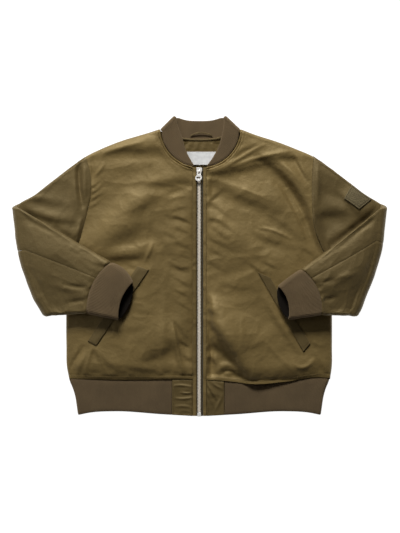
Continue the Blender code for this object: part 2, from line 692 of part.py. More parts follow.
def cuff_surface(side):
    """Cuff: w from its seam (0) to its mouth (1), a round it as on the sleeve."""
    axis_x, axis_y = cuff_axis(side)
    spec = SLEEVES[side]

    def surface(w, a):
        width = mix(WRIST_WIDTH, MOUTH_WIDTH, w)
        across, lift = ring_offset(a, width, CUFF_RADIUS)
        share = across / width
        level = -lift / CUFF_RADIUS
        seam_x, seam_y = seam_line(side, share)
        mouth_x, mouth_y = mouth_line(side, share)
        shift = mix(bowed(share, level, *SEAM_BOW), bowed(share, level, *MOUTH_BOW), w)
        puff = spec.bulge * 4 * w * (1 - w) * (1 - share) ** 2
        x = mix(seam_x, mouth_x, w) + axis_x * shift - 0.45 * puff
        y = mix(seam_y, mouth_y, w) + axis_y * shift + 0.9 * puff
        crown = np.where(a < 0, CUFF_CROWN * crown_share(across, width), 0)
        z = CUFF_BASE + CUFF_RADIUS - lift + crown + CUFF_RISE * w
        return np.stack([side * x, y, z], axis=-1)

    return surface


# ---------------------------------------------------------------- making solids
def material(name, colour, roughness, metallic=0.0):
    made = bpy.data.materials.new(name)
    made.use_nodes = True
    shader = made.node_tree.nodes["Principled BSDF"]
    shader.inputs["Base Color"].default_value = (*colour, 1.0)
    shader.inputs["Roughness"].default_value = roughness
    shader.inputs["Metallic"].default_value = metallic
    return made


def add_object(name, mesh, made):
    thing = bpy.data.objects.new(name, mesh)
    mesh.materials.append(made)
    PARTS.objects.link(thing)
    return thing


def wall(name, surface, us, vs, outer, inner, made, flip=False, closed=False, level=None):
    """Closed sheet between two offsets of a surface, with its edges cut square.

    level marks the points whose edge is cut level, so that it meets its mirror at a seam.
    Each four-sided patch is split along its shorter diagonal, which follows the folds.
    """
    u, v = np.meshgrid(us, vs, indexing="ij")
    step = 2e-3
    point = surface(u, v)
    along = surface(u + step, v) - surface(u - step, v)
    across = surface(u, v + step) - surface(u, v - step)
    normal = np.cross(along, across)
    normal = normal / np.linalg.norm(normal, axis=-1, keepdims=True)
    if flip:
        normal = -normal
    if level is not None:
        flat = normal * (1, 1, 0)
        flat = flat / np.maximum(np.linalg.norm(flat, axis=-1, keepdims=True), 1e-9)
        lean = np.maximum(np.sum(flat * normal, axis=-1, keepdims=True), 0.5)
        normal = np.where(level(point)[..., None], flat / lean, normal)
    sheets = (point + normal * outer, point + normal * inner)
    mesh = bpy.data.meshes.new(name)
    shell = bmesh.new()
    verts = [[[shell.verts.new(p * MM) for p in line] for line in sheet] for sheet in sheets]
    rows, columns = u.shape
    last = columns if closed else columns - 1
    for i in range(rows - 1):
        for j in range(last):
            k = (j + 1) % columns
            one = np.linalg.norm(point[i, j] - point[i + 1, k])
            other = np.linalg.norm(point[i + 1, j] - point[i, k])
            for sheet in verts:
                corners = (sheet[i][j], sheet[i + 1][j], sheet[i + 1][k], sheet[i][k])
                shell.faces.new(corners[:3] if one < other else corners[:2] + corners[3:])
                shell.faces.new(corners[2:] + corners[:1] if one < other else corners[1:])
    for i in (0, rows - 1):
        for j in range(last):
            k = (j + 1) % columns
            shell.faces.new((verts[0][i][j], verts[0][i][k], verts[1][i][k], verts[1][i][j]))
    if not closed:
        for j in (0, columns - 1):
            for i in range(rows - 1):
                shell.faces.new((verts[0][i][j], verts[0][i + 1][j], verts[1][i + 1][j], verts[1][i][j]))
    bmesh.ops.recalc_face_normals(shell, faces=shell.faces)
    shell.to_mesh(mesh)
    shell.free()
    mesh.shade_smooth()
    mesh.set_sharp_from_angle(angle=math.radians(50))
    return add_object(name, mesh, made)


def box(shell, low, high):
    """Add a box between two corners, in millimetres, to a bmesh."""
    made = bmesh.ops.create_cube(shell, size=1.0)["verts"]
    for vert in made:
        for axis in range(3):
            centre = (low[axis] + high[axis]) / 2
            vert.co[axis] = (centre + vert.co[axis] * (high[axis] - low[axis])) * MM
    return made


def box_object(name, low, high, made, bevel=0.0):
    shell = bmesh.new()
    box(shell, low, high)
    mesh = bpy.data.meshes.new(name)
    shell.to_mesh(mesh)
    shell.free()
    thing = add_object(name, mesh, made)
    if bevel:
        rounded = thing.modifiers.new("rounded", "BEVEL")
        rounded.width = bevel * MM
        rounded.segments = 2
    return thing


def tidy_cutter(thing):
    thing.hide_render = True
    thing.display_type = "WIRE"
    PARTS.objects.unlink(thing)
    CUTTERS.objects.link(thing)


def combine(target, tool, operation):
    step = target.modifiers.new(operation.lower(), "BOOLEAN")
    step.operation = operation
    step.object = tool
    step.solver = "EXACT"


# ---------------------------------------------------------------- pieces
def at_tip(side):
    return lambda point: outline_distance(side, point[..., 0], point[..., 1]) < 0.4


ROLL_STEPS = (5.2, 2.5, 0.7, 0.0)


def edge_spaced(count, size):
    """Even shares of a length, with closer ones over the rolled edge at its end."""
    close = [1 - distance / size for distance in ROLL_STEPS]
    return np.concatenate([np.linspace(0, close[0], count), close[1:]])


def build_fronts(satin):
    for side, name in SIDES:
        us = edge_spaced(20, 195.0)
        vs = edge_spaced(37, 375.0)
        wall(f"front_{name}", front_surface(side), us, vs, 0.0, -SHELL, satin,
             flip=side == RIGHT, level=at_tip(side))


def build_back(satin):
    half = edge_spaced(8, 195.0)
    us = np.concatenate([-half[::-1], half[1:]])
    vs = edge_spaced(13, 375.0)

    def level(point):
        left = point[..., 0] > 0
        edge = np.where(left, outline_distance(LEFT, point[..., 0], point[..., 1]),
                        outline_distance(RIGHT, point[..., 0], point[..., 1]))
        return edge < 0.4

    wall("back", back_surface, us, vs, 0.0, -SHELL, satin, flip=True, level=level)


TIP_GAP = SEAM_GAP / (EDGE_RADIUS * math.pi)
FACE_GAP = SEAM_GAP / 300
UPPER_STEPS = np.concatenate([(-1, -0.5, 0, 0.125, 0.25, 0.375), np.linspace(0.5, 0.75, 10), (0.875, 1)])
UNDER_STEPS = np.array([0, 0.5, 1, 1.25, 1.5, 1.75, 2])


def elbow_seam_at(side, w):
    return -(1 + np.interp(w, (0, 1.5, 3), SLEEVES[side].elbow_seam))


def upper_ring(side, w, t):
    """Ring positions of the upper sleeve: from the elbow seam (-1) by way of 0 to the underarm (1)."""
    start = elbow_seam_at(side, w) + FACE_GAP
    return np.where(t < 0, mix(start, -1.0, 1 + t), mix(-1.0, 3 - TIP_GAP, t))


def under_ring(side, w, t):
    """Ring positions of the under sleeve: from the underarm (0) to the elbow seam (2)."""
    end = elbow_seam_at(side, w) - FACE_GAP
    return np.where(t < 1, mix(-3 + TIP_GAP, -2.0, t), mix(-2.0, end, t - 1))


def build_sleeves(satin):
    stations = np.concatenate([
        np.linspace(0.0, 1.0, 8)[:-1],
        np.linspace(1.0, 2.0, 7)[:-1],
        np.linspace(2.0, 3.0, 11),
    ])
    for side, name in SIDES:
        surface = sleeve_surface(side)

        def upper(w, t):
            return surface(w, upper_ring(side, w, t))

        def under(w, t):
            return surface(w, under_ring(side, w, t))

        wall(f"sleeve_{name}_upper", upper, stations, UPPER_STEPS, 0.0, -SHELL, satin, flip=side == LEFT)
        wall(f"sleeve_{name}_under", under, stations, UNDER_STEPS, 0.0, -SHELL, satin, flip=side == LEFT)


def build_cuffs(rib):
    for side, name in SIDES:
        end = np.array(3.0)
        ring = np.concatenate([
            under_ring(side, end, UNDER_STEPS[:-1]),
            upper_ring(side, end, UPPER_STEPS[:-1]),
        ])
        wall(f"cuff_{name}", cuff_surface(side), np.linspace(0.0, 1, 6), ring, 0.0, -RIB, rib,
             flip=side == LEFT, closed=True)


def build_hem(rib, satin):
    half = np.concatenate([np.linspace(0, 1, 6)[:-1], np.linspace(1, 2, 5)[:-1], np.linspace(2, 3, 8)])
    stations = np.concatenate([-half[::-1], half[1:]])
    wall("hem_rib", hem_surface, stations, np.linspace(0, 1, 5), 0.0, -RIB, rib)
    for side, name in SIDES:
        inner = PLACKET_OUTER + SEAM_GAP

        def height(x, y):
            return np.full_like(x, 2 * HEM_RADIUS)

        outer = HEM_TAB_X[side]
        corners = (
            Corner(side * inner, float(read(HEM_EDGE, inner, "y"))),
            Corner(side * outer, float(read(HEM_EDGE, outer, "y"))),
            Corner(side * inner, float(read(HEM_SEAM, inner, name)) - HEM_GAP),
            Corner(side * outer, float(read(HEM_SEAM, outer, name)) - HEM_GAP),
        )
        wall(f"hem_tab_{name}", plan_surface(height, corners), np.linspace(0, 1, 3),
             np.linspace(0, 1, 3), 0.0, -RIB, satin, flip=side == RIGHT)


def build_collar(rib):
    half = np.concatenate([np.linspace(0, 1, 6)[:-1], np.linspace(1, 2, 5)[:-1], np.linspace(2, 3, 10)])
    stations = np.concatenate([-half[::-1], half[1:]])
    wall("collar", collar_surface, stations, np.linspace(0, 1, 4), 0.0, -RIB, rib, flip=True)


def build_zip(satin, tape_cloth, metal):
    ys = np.linspace(0, 1, 24)
    for side, name in SIDES:
        def height(x, y):
            return front_height(side, x, y)

        def strip(near):
            edge = ZIP_X + side * near
            return plan_surface(height, (
                Corner(edge, PLACKET_Y[0]), Corner(side * PLACKET_OUTER, PLACKET_Y[0]),
                Corner(edge, PLACKET_Y[1]), Corner(side * PLACKET_OUTER, PLACKET_Y[1]),
            ))

        wall(f"placket_{name}", strip(PLACKET_INNER), np.linspace(0, 1, 3), ys,
             0.4, -SHELL, satin, flip=side == RIGHT)
        wall(f"zip_tape_{name}", strip(CHAIN_WIDTH / 2 + SEAM_GAP), np.array([0, 0.3, 0.65, 1]), ys,
             -SHELL - SEAM_GAP, -SHELL - SEAM_GAP - TAPE_THICKNESS, tape_cloth, flip=side == RIGHT)
    middle = ZIP_LEVEL - SHELL - SEAM_GAP - TAPE_THICKNESS / 2
    low = (ZIP_X - CHAIN_WIDTH / 2, ZIP_BOTTOM, middle - CHAIN_THICKNESS / 2)
    high = (ZIP_X + CHAIN_WIDTH / 2, ZIP_TOP, middle + CHAIN_THICKNESS / 2)
    box_object("zip_chain", low, high, metal, bevel=0.5)
    return middle


def build_slider(middle, metal):
    """Two plates on a post, with the bridge that carries the pull."""
    half = SLIDER_WIDTH / 2
    clear = CHAIN_THICKNESS / 2 + SEAM_GAP
    top = middle + clear + PLATE
    plate_low = (ZIP_X - half, SLIDER_Y[0], middle + clear)
    slider = box_object("zip_slider", plate_low, (ZIP_X + half, SLIDER_Y[1], top), metal)
    leg = BRIDGE_HALF_SPAN
    bar = BRIDGE_BAR
    wide = BRIDGE_WIDTH / 2
    roof = top + BRIDGE_RISE
    pieces = (
        ((ZIP_X - half, SLIDER_Y[0], middle - clear - PLATE), (ZIP_X + half, SLIDER_Y[1], middle - clear)),
        ((ZIP_X - POST_WIDTH / 2, ZIP_TOP + 0.4, middle - clear - 0.2),
         (ZIP_X + POST_WIDTH / 2, SLIDER_Y[1] - 1.2, middle + clear + 0.2)),
        ((ZIP_X - wide, HINGE_Y - leg - bar, top - 0.2), (ZIP_X + wide, HINGE_Y - leg, roof)),
        ((ZIP_X - wide, HINGE_Y + leg, top - 0.2), (ZIP_X + wide, HINGE_Y + leg + bar, roof)),
        ((ZIP_X - wide, HINGE_Y - leg - bar, roof - bar), (ZIP_X + wide, HINGE_Y + leg + bar, roof)),
    )
    for index, (low, high) in enumerate(pieces):
        tool = box_object(f"slider_tool_{index}", low, high, metal)
        tidy_cutter(tool)
        combine(slider, tool, "UNION")
    return top


def build_pull(slider_top, metal):
    """Pull tab in its own frame, its origin on the hinge axis, reaching along -Y."""
    hinge = (ZIP_X, HINGE_Y, slider_top + (BRIDGE_RISE - BRIDGE_BAR) / 2)
    outline = bmesh.new()
    end_centre = -(PULL_LENGTH - PULL_END_RADIUS)
    flare = math.asin(PULL_WAIST / PULL_END_RADIUS) + math.radians(18)
    points = [(PULL_WAIST, PULL_BAR), (PULL_WAIST, -4.6), (PULL_WAIST - 0.3, -6.4)]
    for step in range(13):
        angle = mix(flare, 2 * math.pi - flare, step / 12)
        points.append((PULL_END_RADIUS * math.sin(angle), end_centre + PULL_END_RADIUS * math.cos(angle)))
    points += [(-PULL_WAIST + 0.3, -6.4), (-PULL_WAIST, -4.6), (-PULL_WAIST, PULL_BAR)]
    lean = math.tan(PULL_LEAN)
    verts = [outline.verts.new(((x + lean * y) * MM, y * MM, -PULL_THICKNESS / 2 * MM)) for x, y in points]
    face = outline.faces.new(verts)
    grown = bmesh.ops.extrude_face_region(outline, geom=[face])["geom"]
    lifted = [item for item in grown if isinstance(item, bmesh.types.BMVert)]
    bmesh.ops.translate(outline, verts=lifted, vec=(0, 0, PULL_THICKNESS * MM))
    bmesh.ops.recalc_face_normals(outline, faces=outline.faces)
    mesh = bpy.data.meshes.new("zip_pull")
    outline.to_mesh(mesh)
    outline.free()
    pull = add_object("zip_pull", mesh, metal)
    pull.location = [value * MM for value in hinge]
    pull.rotation_euler = (-PULL_REST_TILT, 0, 0)
    eye_wide, eye_far = PULL_EYE
    slot_wide, slot_tall = PULL_SLOT
    slot_x = lean * end_centre
    reach_x, reach_y = slot_wide / 2, slot_tall / 2
    windows = (
        ((-eye_wide / 2, -eye_far, -2), (eye_wide / 2, -PULL_BAR, 2)),
        ((slot_x - reach_x, end_centre - reach_y, -2), (slot_x + reach_x, end_centre + reach_y, 2)),
    )
    for index, (low, high) in enumerate(windows):
        tool = box_object(f"pull_cutter_{index}", low, high, metal)
        tidy_cutter(tool)
        tool.parent = pull
        combine(pull, tool, "DIFFERENCE")


def build_trims(satin, lining, white, loop_cloth):
    for side, name in SIDES:
        def height(x, y):
            return front_height(side, x, y)

        wall(f"pocket_welt_{name}", plan_surface(height, WELTS[side]), np.linspace(0, 1, 4),
             np.linspace(0, 1, 15), WELT_GAP + WELT_THICKNESS, WELT_GAP, satin, flip=side == LEFT)

    def inside_back(x, y):
        return np.full_like(x, SHELL)

    rest = SEAM_GAP + FACING_THICKNESS
    low, high = FACING_HALF_WIDTHS
    facing = (
        Corner(-low, FACING_Y[0]), Corner(low, FACING_Y[0]),
        Corner(-high, FACING_Y[1]), Corner(high, FACING_Y[1]),
    )
    wall("back_neck_facing", plan_surface(inside_back, facing), np.linspace(0, 1, 3),
         np.linspace(0, 1, 3), rest, SEAM_GAP, lining)
    label = (
        Corner(LABEL_X[0], LABEL_Y[0]), Corner(LABEL_X[1], LABEL_Y[0]),
        Corner(LABEL_X[0], LABEL_Y[1]), Corner(LABEL_X[1], LABEL_Y[1]),
    )
    wall("label", plan_surface(inside_back, label), np.linspace(0, 1, 2), np.linspace(0, 1, 2),
         rest + SEAM_GAP + LABEL_THICKNESS, rest + SEAM_GAP, white)

    def neck_tape(u, v):
        x = mix(*NECK_TAPE_X, u)
        y = back_neck_y(x) + mix(*NECK_TAPE_OFFSETS, v)
        return np.stack([x, y, np.full_like(x, RIB)], axis=-1)

    wall("neck_tape", neck_tape, np.linspace(0, 1, 13), np.linspace(0, 1, 2),
         SEAM_GAP + NECK_TAPE_THICKNESS, SEAM_GAP, lining)

    def hanger(u, v):
        rise = np.sin(np.pi * u) ** 0.6
        x = mix(*HANGER_X, u)
        y = mix(*HANGER_Y, rise) + HANGER_WIDTH * v
        z = mix(*HANGER_Z, rise)
        return np.stack([x, y, z], axis=-1)

    half = HANGER_THICKNESS / 2
    wall("hanger_loop", hanger, np.linspace(0.02, 0.98, 13), np.linspace(0, 1, 2), half, -half, lining)

    sleeve = sleeve_surface(LEFT)

    def patch(u, v):
        low = mix(*PATCH_ARM[0], u)
        high = mix(*PATCH_ARM[1], u)
        reach = mix(*PATCH_REACH, v)
        a = 1 + (reach - EDGE_RADIUS) / (ARM_WIDTH - 2 * EDGE_RADIUS)
        rolled_a = 1 - (EDGE_RADIUS - reach) / EDGE_RADIUS * 0.6
        return sleeve(mix(low, high, v), np.where(reach < EDGE_RADIUS, rolled_a, a))

    wall("sleeve_patch", patch, np.linspace(0, 1, 5), np.linspace(0, 1, 6),
         PATCH_GAP + PATCH_THICKNESS, PATCH_GAP, loop_cloth, flip=True)


def main():
    satin = material("olive_satin_nylon", (0.155, 0.115, 0.045), 0.45)
    rib = material("olive_rib_knit", (0.10, 0.072, 0.044), 0.9)
    lining = material("olive_lining", (0.14, 0.11, 0.06), 0.5)
    tape_cloth = material("zip_tape", (0.03, 0.026, 0.018), 0.85)
    metal = material("pale_metal", (0.80, 0.77, 0.70), 0.3, 1.0)
    white = material("white_woven", (0.86, 0.86, 0.84), 0.8)
    loop_cloth = material("loop_fastener", (0.13, 0.11, 0.07), 0.95)
    build_back(satin)
    build_fronts(satin)
    build_sleeves(satin)
    build_cuffs(rib)
    build_hem(rib, satin)
    build_collar(rib)
    middle = build_zip(satin, tape_cloth, metal)
    box_low = (ZIP_X - CHAIN_WIDTH / 2, ZIP_BOX_END, middle - ZIP_BOX_THICKNESS / 2)
    box_high = (ZIP_X + CHAIN_WIDTH / 2, ZIP_BOTTOM - SEAM_GAP, middle + ZIP_BOX_THICKNESS / 2)
    box_object("zip_box", box_low, box_high, metal, bevel=0.4)
    slider_top = build_slider(middle, metal)
    build_pull(slider_top, metal)
    build_trims(satin, lining, white, loop_cloth)


for old in list(bpy.data.objects):
    bpy.data.objects.remove(old, do_unlink=True)
PARTS = bpy.data.collections.new("bomber_jacket")
CUTTERS = bpy.data.collections.new("cutters")
bpy.context.scene.collection.children.link(PARTS)
bpy.context.scene.collection.children.link(CUTTERS)
main()
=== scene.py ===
"""Looks of the bomber jacket: fine cloth, rib knit, zip, stitching, finishes, light and camera.

The first half repeats the tables and surfaces of the solids, in millimetres: X to the wearer's
left, Y from hem to collar, Z up from the floor. The second half lays fine cloth over those
surfaces, with its creases placed one by one, and adds what is sewn on.
"""

import math
from collections import namedtuple

import bmesh
import bpy
import numpy as np
from mathutils import Matrix, Vector


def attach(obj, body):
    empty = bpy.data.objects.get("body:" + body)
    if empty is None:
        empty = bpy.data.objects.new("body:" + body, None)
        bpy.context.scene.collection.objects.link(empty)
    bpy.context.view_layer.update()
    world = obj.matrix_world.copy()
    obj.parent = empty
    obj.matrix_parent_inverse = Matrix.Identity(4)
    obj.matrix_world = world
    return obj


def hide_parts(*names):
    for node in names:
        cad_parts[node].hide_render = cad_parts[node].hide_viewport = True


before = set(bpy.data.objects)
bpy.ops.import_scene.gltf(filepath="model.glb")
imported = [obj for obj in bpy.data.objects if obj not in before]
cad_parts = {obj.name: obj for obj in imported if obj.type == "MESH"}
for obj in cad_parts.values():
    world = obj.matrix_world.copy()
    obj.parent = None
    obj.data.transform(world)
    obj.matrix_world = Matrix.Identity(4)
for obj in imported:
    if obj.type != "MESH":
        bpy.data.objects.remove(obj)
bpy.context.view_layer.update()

MM = 0.001
RIGHT = -1
LEFT = 1
SIDES = ((RIGHT, "right"), (LEFT, "left"))
Place = namedtuple("Place", "x y")


def table(columns, *rows, defaults=()):
    """Rows of values under named columns."""
    row = namedtuple("Row", columns, defaults=defaults)
    return tuple(row(*values) for values in rows)


# ---- driving sizes
SEAM_GAP = 0.3
ARMHOLE_GAP = 0.9
HEM_GAP = 0.5
NECK_GAP = 1.0
SHELL = 2.2
RIB = 2.8
EDGE_RADIUS = 5.0
HEM_RADIUS = 4.7
CROWN = 8.0
CROWN_REACH = 45.0
SHOULDER_SLOPE = 0.93
UNDERARM = (209.0, -3.0)
HEM_SEAM_Y = -181.0
HEM_LEVEL = 9.5
HEM_SETTLE = 9.0
HEM_PUFF = 2.0
HEM_PUFF_AT = 22.0
HEM_PUFF_WIDTH = 14.0
NECK_LEVEL = 10.2
NECK_REACH = 38.0
NECK_CENTRE = (1.5, 221.5)
NECK_RADIUS = 64.2
NECK_POINT_ANGLE = math.radians(86)
NECK_SHARE = 0.34
BACK_NECK = (201.4, 218.0)

ZIP_X = -0.5
ZIP_LEVEL = 10.2
ZIP_TOP = 150.0
ZIP_BOTTOM = -233.5
ZIP_BOX_END = -240.0
ZIP_BOX_THICKNESS = 3.6
CHAIN_WIDTH = 5.8
CHAIN_THICKNESS = 2.6
PLACKET_INNER = 5.3
PLACKET_OUTER = 10.9
PLACKET_Y = (-239.0, 157.4)
ZIP_SETTLE = 18.0
FRONT_EDGE = 11.2

# ---- outlines
BODY_SIDES = table(
    "y right left",
    (-181.0, 208.0, 208.5), (-160.0, 211.9, 211.4), (-130.0, 212.6, 211.6), (-75.0, 212.8, 211.6),
    (-40.0, 212.0, 211.4), (-3.0, 209.0, 209.0), (40.0, 191.0, 188.0), (62.0, 184.8, 181.3),
    (87.0, 178.4, 179.0), (114.0, 172.8, 178.4), (146.0, 173.6, 179.2), (175.0, 181.0, 182.0),
)
SHOULDERS = table(
    "x right left",
    (64.0, 218.0, 219.0), (92.0, 209.6, 208.6), (124.0, 200.0, 198.4), (156.0, 187.4, 186.0),
    (181.5, 174.9, 174.9), (220.0, 147.2, 148.0), (300.0, 93.0, 90.0),
)
HEM_SEAM = table(
    "x right left",
    (0.0, -181.0, -181.0), (40.0, -181.0, -183.0), (85.0, -181.5, -188.0), (140.0, -181.5, -184.0),
    (190.0, -180.0, -177.5), (209.0, -179.0, -178.5),
)
HEM_SIDES = table(
    "share half_width",
    (0.0, 208.0), (0.22, 202.5), (0.45, 198.5), (0.72, 196.0), (1.0, 193.8),
)
HEM_EDGE = table(
    "x y",
    (0.0, -240.0), (60.0, -236.5), (135.0, -231.8), (175.0, -234.0), (195.0, -238.0),
)
COLLAR_EDGE = table(
    "y right left",
    (161.0, 9.0, 12.6), (173.0, 16.2, 21.0), (189.0, 23.2, 29.5), (205.0, 27.8, 34.8),
    (223.0, 34.0, 38.2), (239.0, 39.0, 40.8),
)
ELBOWS = table(
    "y right left",
    (-84.0, 245.4, 249.0), (-70.0, 254.4, 257.6), (-51.0, 265.4, 264.8), (-22.0, 276.8, 276.8),
    (6.0, 285.6, 285.4), (35.0, 291.8, 292.6), (60.0, 294.8, 295.2), (95.0, 299.0, 299.6),
)

# ---- sleeves
ARM_WIDTH = 179.0
ARM_DIP_AT = 0.7
ARM_CROWN = 5.5
ELBOW_WIDTH = 178.0
WRIST_WIDTH = 88.0
MOUTH_WIDTH = 64.0
BEND_INNER = 2.0
BEND_SLIDE = 3.8
ELBOW_TOP_Y = 95.5
ELBOW_BOTTOM_Y = -82.0
CUFF_RADIUS = 6.6
CUFF_BASE = 22.2
CUFF_CROWN = 1.5
CUFF_RISE = 0.6
# How far a ring bows along the cuff's axis on its top and its under face.
SEAM_BOW = (-11.0, 3.0)
MOUTH_BOW = (-7.5, 7.0)

SLEEVE_COLUMNS = "seam_top seam_low mouth_top mouth_low bulge dip sag elbow_seam"
SleeveSpec = namedtuple("SleeveSpec", SLEEVE_COLUMNS)
SLEEVES = {
    RIGHT: SleeveSpec(
        seam_top=Place(140.6, 6.1),
        seam_low=Place(178.6, -75.6),
        mouth_top=Place(104.6, -26.0),
        mouth_low=Place(128.0, -86.4),
        bulge=6.0,
        dip=3.4,
        sag=0.0,
        elbow_seam=(0.45, 0.40, 0.34),
    ),
    LEFT: SleeveSpec(
        seam_top=Place(160.6, -4.6),
        seam_low=Place(193.0, -78.0),
        mouth_top=Place(123.6, -31.4),
        mouth_low=Place(140.4, -85.0),
        bulge=1.0,
        dip=2.2,
        sag=4.5,
        elbow_seam=(0.42, 0.33, 0.20),
    ),
}
# Forearm sections from the elbow (0) to the cuff seam (1): underside height, roll radius, crown.
FOREARM = table(
    "along base radius crown",
    (0.0, 14.0, 5.0, 0.0), (0.12, 16.2, 5.2, 1.4), (0.3, 17.4, 5.6, 2.6), (0.6, 18.2, 6.0, 2.6),
    (0.85, 20.4, 6.3, 2.0), (1.0, 22.2, 6.6, 1.0),
)

# ---- folds
def folds(*rows):
    """Folds from (x0, y0) to (x2, y2) by way of (x1, y1). A negative height is a trough."""
    return table("x0 y0 x1 y1 x2 y2 height width", *rows)


def falls(*rows):
    """Falls along such lines: the cloth on the right-hand side lies lower by the drop.

    lift is the share of the drop by which the left-hand side stands up.
    """
    return table("x0 y0 x1 y1 x2 y2 drop width lift", *rows, defaults=(0.5,))


FALL_REACH = 3.2
FRONT_FOLDS = {
    RIGHT: folds(
        (-47, -80, -42, -120, -26, -166, 1.8, 5), (-194, -166, -188, -150, -178, -136, 2.2, 5),
        (-60, -172, -56, -90, -54, -10, 1.2, 6),
    ),
    LEFT: folds(
        (14, -56, 17, -110, 20, -164, -3.4, 4.5), (30, -168, 45, -146, 60, -172, 2.6, 5),
        (124, 168, 146, 156, 168, 124, 2.2, 4.5),
    ),
}
FRONT_FALLS = {
    RIGHT: falls(
        (-156, 177, -112, 189, -60, 182, 8.0, 8), (-140, 150, -80, 156, -16, 150, 3.4, 12),
        (-66, 186, -54, 172, -42, 160, 3.0, 4), (-192, 30, -152, 74, -94, 124, -12.0, 16),
        (-90, 130, -50, 129, -14, 138, 6.6, 7), (-118, 83, -92, 90, -56, 115, 7.0, 11),
        (-152, 35, -112, 52, -72, 72, 6.5, 12), (-140, 28, -108, 29, -76, 40, -1.8, 5),
        (-150, 13, -116, 10, -86, 16, 7.0, 6), (-76, -122, -82, -60, -92, -10, 5.0, 14),
        (-92, -148, -62, -142, -26, -112, 12.0, 15), (-62, 26, -58, 8, -50, -12, -2.4, 5),
        (-164, -140, -148, -156, -126, -168, 3.6, 5), (-56, 36, -44, 14, -26, 0, 1.6, 6),
    ),
    LEFT: falls(
        (14, 148, 62, 149, 116, 167, 8.0, 6.5, 0.4), (36, 138, 76, 140, 112, 148, 5.0, 11),
        (46, 170, 84, 184, 132, 190, 4.4, 9), (108, 169, 134, 173, 164, 172, 5.5, 5),
        (150, 178, 160, 160, 172, 138, 5.0, 3.5), (110, 164, 152, 134, 172, 80, 18.0, 6.5, 0.35),
        (20, 146, 52, 156, 68, 190, 5.0, 11), (172, 90, 178, 56, 194, 22, 12.0, 5),
        (16, 136, 56, 109, 118, 88, 8.0, 8, 0.3), (34, 84, 66, 52, 104, 30, -9.0, 13),
        (168, 40, 156, 78, 126, 122, 3.0, 5), (96, 46, 112, 39, 130, 34, 3.8, 5),
        (18, -44, 58, -78, 108, -116, -7.0, 17), (80, -186, 46, -138, 16, -78, -20.0, 8),
        (-6, -120, 26, -126, 64, -152, 15.0, 20), (24, -172, 17, -130, 12, -64, -7.0, 5),
        (14, -30, 56, -18, 98, -4, -1.6, 6),
    ),
}
SLEEVE_FOLDS = {
    RIGHT: folds(
        (-193, 170, -195, 132, -186, 96, -6.5, 4.5), (-199, 46, -192, 60, -187, 74, 2.4, 5),
        (-212, -30, -194, -35, -176, -33, -1.8, 4), (-208, -58, -192, -56, -178, -54, -1.8, 4),
    ),
    LEFT: folds(
        (187, 154, 188, 130, 188, 104, 1.6, 5), (214, -20, 204, -26, 194, -26, -1.6, 4),
        (216, -50, 206, -52, 196, -54, -1.6, 4),
    ),
}
SLEEVE_FALLS = {
    RIGHT: falls(
        (-284, 112, -246, 98, -212, 96, 4.0, 6, 0.3), (-292, 97, -258, 73, -206, 69, 8.0, 5, 0.3),
        (-238, 68, -216, 56, -194, 42, 4.0, 4), (-276, 2, -232, -24, -182, -56, 7.0, 20),
        (-250, 150, -226, 128, -196, 120, 3.0, 12), (-210, 86, -202, 110, -196, 150, -2.4, 8),
        (-262, 22, -226, 12, -186, -8, 3.0, 8), (-190, 40, -200, 50, -206, 66, -3.0, 7),
    ),
    LEFT: falls(
        (184, 82, 206, 83, 238, 84, 9.0, 8, 0.35), (222, 114, 234, 104, 250, 86, 4.0, 4),
        (188, 60, 214, 64, 246, 78, 4.0, 11), (204, 34, 238, 56, 286, 96, 7.5, 4.5, 0.1),
        (190, -52, 236, -32, 282, 8, 8.0, 20), (182, 130, 212, 126, 244, 122, 6.0, 20),
        (252, 150, 238, 130, 226, 100, 3.0, 12), (194, 4, 230, 22, 268, 44, 3.0, 9),
    ),
}

# ---- what lies on the panels
WELT_THICKNESS = 1.7
WELT_GAP = 0.5
WELTS = {
    RIGHT: (Place(-177.4, -118.9), Place(-164.0, -126.4), Place(-98.4, 0.0), Place(-80.8, -6.4)),
    LEFT: (Place(176.0, -123.2), Place(165.0, -136.2), Place(112.2, -18.6), Place(93.0, -9.9)),
}
PATCH_ARM = ((0.57, 0.87), (0.483, 0.708))
PATCH_REACH = (2.6, 31.0)
PATCH_THICKNESS = 1.4
PATCH_GAP = 0.6
FACING_Y = (160.4, 199.0)
FACING_HALF_WIDTHS = (40.0, 56.0)
FACING_THICKNESS = 1.2
LABEL_X = (-27.0, 31.0)
LABEL_Y = (161.6, 182.4)
LABEL_THICKNESS = 0.8
TAPE_THICKNESS = 0.8
NECK_TAPE_X = (-52.0, 54.0)
NECK_TAPE_OFFSETS = (-1.6, 2.1)
NECK_TAPE_THICKNESS = 1.4
HANGER_X = (-15.0, 21.0)
HANGER_Y = (205.0, 211.6)
HANGER_Z = (3.7, 5.9)
HANGER_WIDTH = 2.6
HANGER_THICKNESS = 1.0
HEM_TAB_X = {RIGHT: 44.0, LEFT: 40.0}

# ---- slider and pull
SLIDER_WIDTH = 9.6
SLIDER_Y = (147.6, 157.2)
PLATE = 1.1
BRIDGE_WIDTH = 2.2
BRIDGE_RISE = 3.4
BRIDGE_BAR = 1.0
BRIDGE_HALF_SPAN = 2.0
HINGE_Y = 151.0
PULL_THICKNESS = 1.4
PULL_LENGTH = 16.2
PULL_WAIST = 3.5
PULL_END_RADIUS = 5.4
PULL_BAR = 0.6
PULL_EYE = (3.2, 4.3)
PULL_SLOT = (6.0, 2.6)
PULL_LEAN = math.radians(5)
PULL_REST_TILT = math.radians(6)


